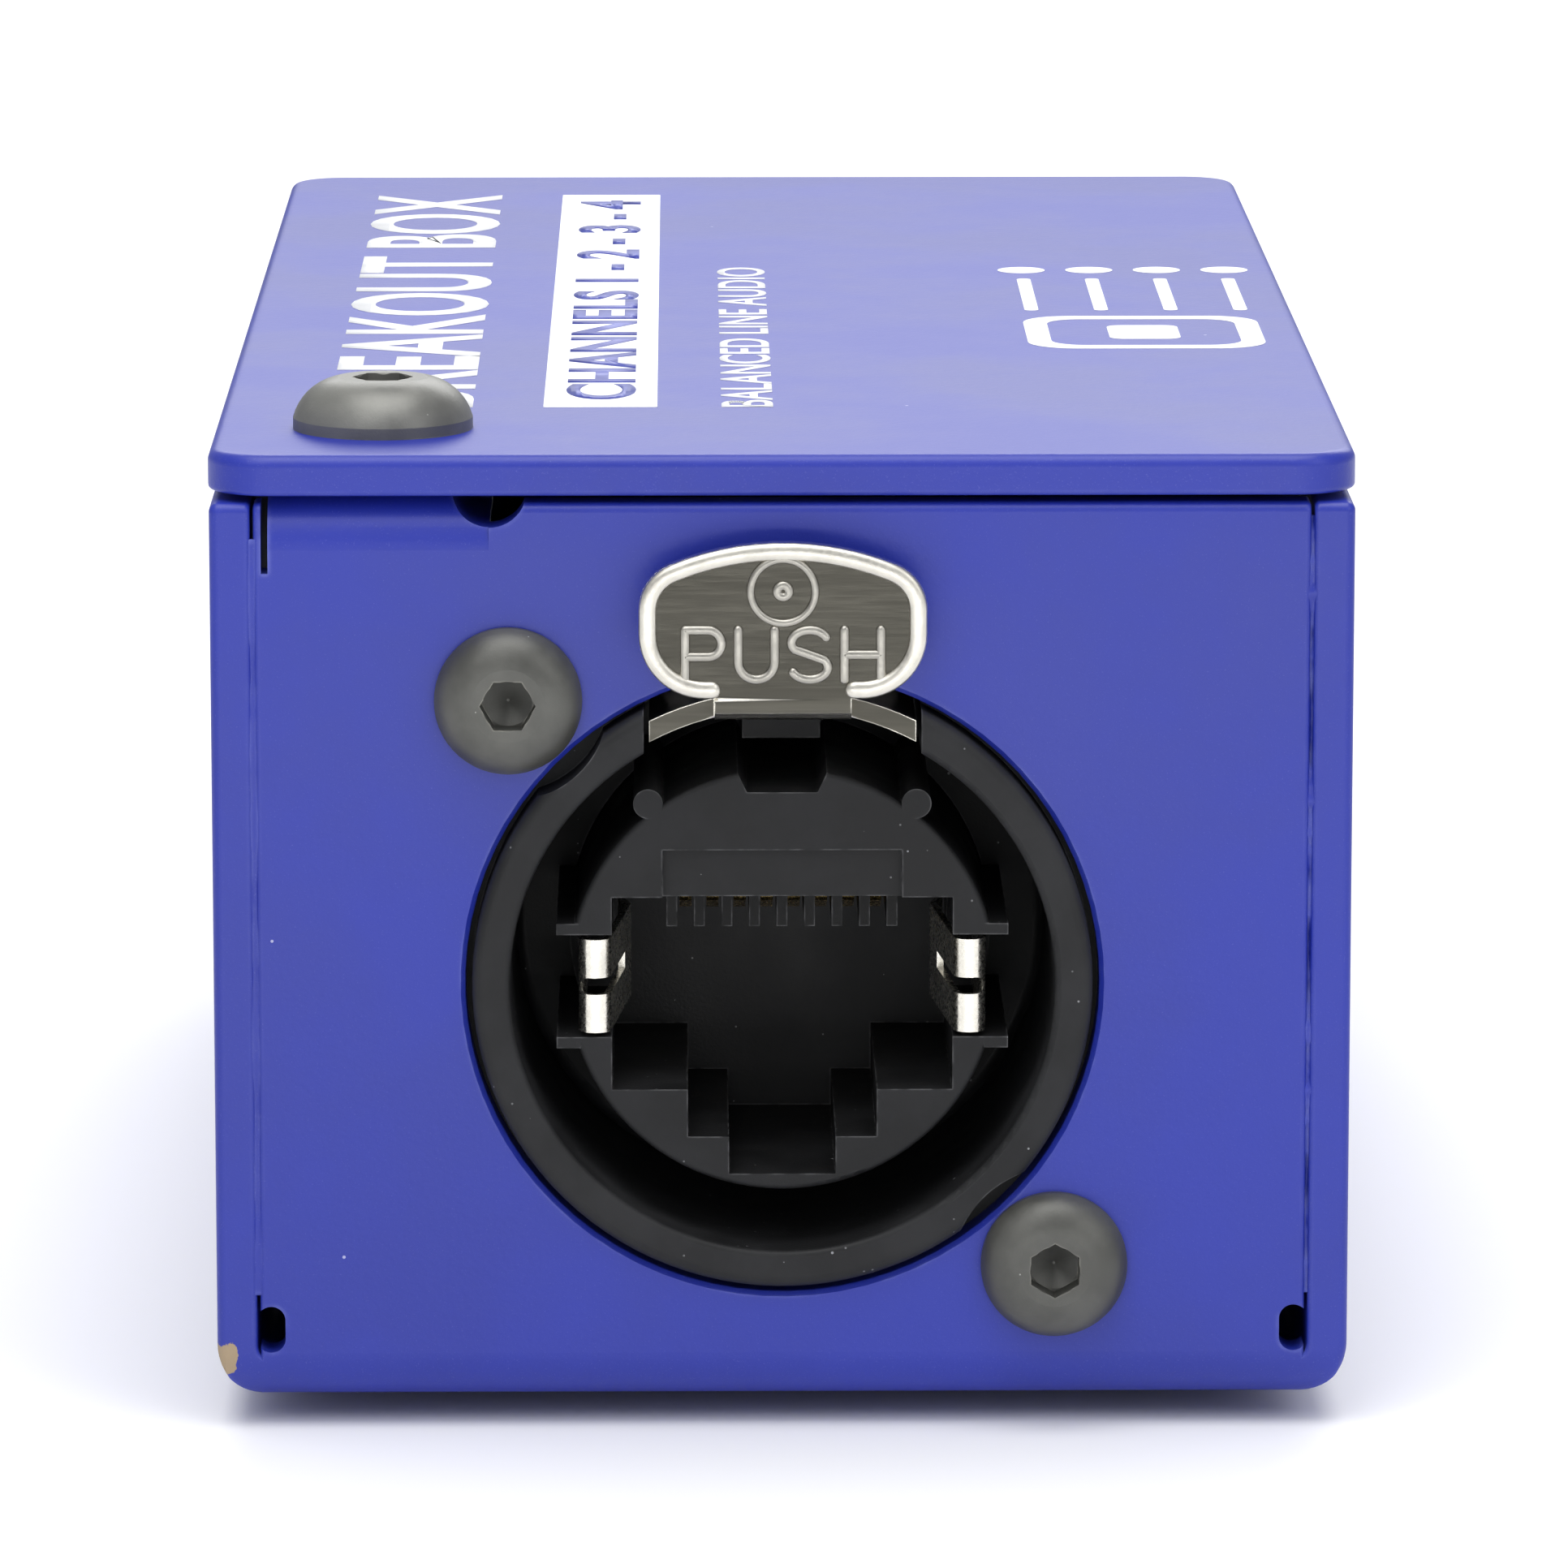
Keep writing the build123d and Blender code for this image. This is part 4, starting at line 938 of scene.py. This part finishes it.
def seam_bead(name, side, y_face, inward, sink, waver, top_gap, seed):
    """Paint that has run into the seam between an end wall and a side wall.

    Across the seam the surface lies at depth sink * cos(u * pi / 2) ** 2 behind the wall's face,
    for u from -1 to 1, and along it the sink wavers by a sum of sines with random phases.
    """
    chance = np.random.default_rng(seed)
    u = np.linspace(-1, 1, 13)[None, :]
    z = np.linspace(TRAY_LOW.z + 4.1 * MM, TRAY_HIGH.z - top_gap, 420)[:, None]
    wave = sum(np.sin(2 * np.pi * z / (period * MM) + chance.uniform(0, 6.3)) / count
               for count, period in enumerate((9.0, 4.1, 2.3, 1.1, 0.6), 1))
    depth = 0.012 * MM + sink * (1 + waver * wave) * np.cos(u * np.pi / 2) ** 2
    shift_x = 0.03 * MM * np.sin(2 * np.pi * z / (5.3 * MM) + chance.uniform(0, 6.3))
    front = np.empty((len(z), u.shape[1], 3))
    front[..., 0] = side * (SEAM_X + u * 0.27 * MM) + shift_x * np.cos(u * np.pi / 2)
    front[..., 1] = y_face + inward * depth
    front[..., 2] = z
    back = front + (0, inward * 0.12 * MM, 0)
    return closed_sheet(name, front, back)


class BOX_OT_seams(bpy.types.Operator):
    """Fills the four seams of the tray with run-in paint"""

    bl_idname = "box.seams"
    bl_label = "Painted seams"

    def execute(self, context):
        sizes = context.scene.box_seams
        paint = material("Powder coat")
        ends = (("front", TRAY_LOW.y, 1), ("rear", TRAY_HIGH.y, -1))
        for seed, (end, y_face, inward) in enumerate(ends, 3):
            left = seam_bead(f"seam_{end}_left", -1, y_face, inward, sizes.left_sink, 0.25,
                             sizes.top_gap, seed)
            right = seam_bead(f"seam_{end}_right", 1, y_face, inward, sizes.right_sink, 0.45,
                              sizes.top_gap / 2, seed + 9)
            for piece in (left, right):
                finish_piece(piece, paint, "case")
        return {"FINISHED"}


class BOX_OT_latch_details(bpy.types.Operator):
    """Adds the rolled rim, the raised word and the ring to the latch tab"""

    bl_idname = "box.latch_details"
    bl_label = "Latch details"

    def execute(self, context):
        sizes = context.scene.box_latch
        nickel = context.scene.box_finish.nickel
        # Letters, ring and dot take a copy of the nickel at half brightness: painted shade.
        raised_painted_shade = metal_material("Raised nickel, painted shade", shade(nickel, 0.5)[:3], 0.3, 0.44)
        # The recess takes the dark reflection colour on brushed nickel: a painted dark reflection.
        recess_painted_dark = metal_material("Brushed nickel, painted dark reflection", context.scene.box_finish.painted_reflection_nickel, 0.34, 0.5,
                                 (0.06, 1, 1), 0.5)
        # The rim takes a slightly darker copy of the nickel: painted shade.
        rim_painted_shade = metal_material("Rim nickel, painted shade", shade(nickel, 0.84)[:3], 0.3, 0.44)
        face_y = TAB_LOW.y + sizes.recess
        lever = flat_lever(face_y)
        finish_piece(lever, material("Pressed nickel"), "latch")
        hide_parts("latch_lever")
        spring = coil_mesh("latch_coil", SPRING_LOW, SPRING_HIGH, sizes.coil_wire, sizes.coil_turns)
        finish_piece(spring, material("Zinc"), "case")
        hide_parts("latch_spring")
        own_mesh(spring)
        rim_path = tab_path(sizes.rim_width / 2, sizes.neck_half)
        rim = ridge_mesh("latch_rim", [rim_path], sizes.rim_width, sizes.rim_height, power=2.5)
        word = ridge_mesh("latch_word", push_strokes(sizes.letter_height), sizes.stroke,
                          sizes.relief)
        ring = ridge_mesh("latch_ring", [arc_points(0, 0, sizes.ring_radius, 0, 354, 60)],
                          sizes.stroke * 0.85, sizes.relief, closed=True)
        dot = ridge_mesh("latch_dot", [arc_points(0, 0, sizes.ring_radius * 0.18, 0, 348, 30)],
                         sizes.stroke, sizes.relief, closed=True)
        outline = tab_path(sizes.rim_width * 0.6, sizes.neck_half, 120)
        inlay = plate_mesh("latch_recess", outline, -0.02 * MM, 0.05 * MM)
        details = ((rim, rim_painted_shade, 0), (word, raised_painted_shade, -WORD_DROP), (ring, raised_painted_shade, RING_RISE),
                   (dot, raised_painted_shade, RING_RISE), (inlay, recess_painted_dark, 0))
        for piece, coat, rise in details:
            shift(piece, (0, face_y, TAB_Z + rise))
            finish_piece(piece, coat, "latch")
        return {"FINISHED"}


class BOX_OT_studio(bpy.types.Operator):
    """Sets up the table top, soft lights and the camera"""

    bl_idname = "box.studio"
    bl_label = "Studio"

    def execute(self, context):
        sizes = context.scene.box_studio
        scene = context.scene
        scene.view_settings.view_transform = "Standard"
        floor = mesh_object("floor", [(-3, -3, 0), (3, -3, 0), (3, 3, 0), (-3, 3, 0)],
                            [(0, 1, 2, 3)], False)
        coat = plain_material("Table top", sizes.floor, 0.6, 60.0, 0.02, 0.01)
        floor.data.materials.append(coat)
        world = bpy.data.worlds.new("Studio") if scene.world is None else scene.world
        scene.world = world
        world.use_nodes = True
        sky = world.node_tree.nodes["Background"]
        sky.inputs["Color"].default_value = (0.95, 0.97, 1.0, 1)
        sky.inputs["Strength"].default_value = 0.42
        for light in LIGHTS:
            self.area_light(*light)
        camera_data = bpy.data.cameras.new("camera")
        camera = bpy.data.objects.new("camera", camera_data)
        scene.collection.objects.link(camera)
        camera_data.lens = sizes.lens
        camera_data.sensor_width = 36.0
        camera_data.clip_start = 0.01
        camera.location = (-3.72 * MM, TRAY_LOW.y - sizes.distance, sizes.height)
        camera.rotation_euler = (math.pi / 2 - sizes.pitch, 0, -sizes.yaw)
        scene.camera = camera
        return {"FINISHED"}

    def area_light(self, name, place, target, width, height, power):
        data = bpy.data.lights.new(name, "AREA")
        data.shape = "RECTANGLE"
        data.size = width
        data.size_y = height
        data.energy = power
        light = bpy.data.objects.new(name, data)
        bpy.context.scene.collection.objects.link(light)
        light.location = place
        aim = Vector(target) - Vector(place)
        light.rotation_euler = aim.to_track_quat("-Z", "Y").to_euler()


class BOX_PT_panel(bpy.types.Panel):
    """Lists the steps in the order in which they run"""

    bl_idname = "BOX_PT_panel"
    bl_label = "Breakout Box"
    bl_space_type = "VIEW_3D"
    bl_region_type = "UI"
    bl_category = "Breakout Box"

    def draw(self, context):
        for step in STEPS:
            self.layout.operator(step)
        for group in SETTINGS:
            settings = getattr(context.scene, group)
            box = self.layout.box()
            for name in settings.__annotations__:
                box.prop(settings, name)


STEPS = ("box.finishes", "box.lid_print", "box.seams", "box.latch_details", "box.studio")
SETTINGS = {"box_finish": BoxFinishSettings, "box_print": LidPrintSettings,
            "box_seams": SeamSettings, "box_latch": LatchSettings, "box_studio": StudioSettings}
CLASSES = (*SETTINGS.values(), BOX_OT_finishes, BOX_OT_lid_print, BOX_OT_seams,
           BOX_OT_latch_details, BOX_OT_studio, BOX_PT_panel)


def register():
    for item in CLASSES:
        bpy.utils.register_class(item)
    for name, group in SETTINGS.items():
        setattr(bpy.types.Scene, name, bpy.props.PointerProperty(type=group))


def unregister():
    for name in SETTINGS:
        delattr(bpy.types.Scene, name)
    for item in reversed(CLASSES):
        bpy.utils.unregister_class(item)


def main():
    register()
    for step in STEPS:
        family, name = step.split(".")
        getattr(getattr(bpy.ops, family), name)()


if __name__ == "__main__":
    main()
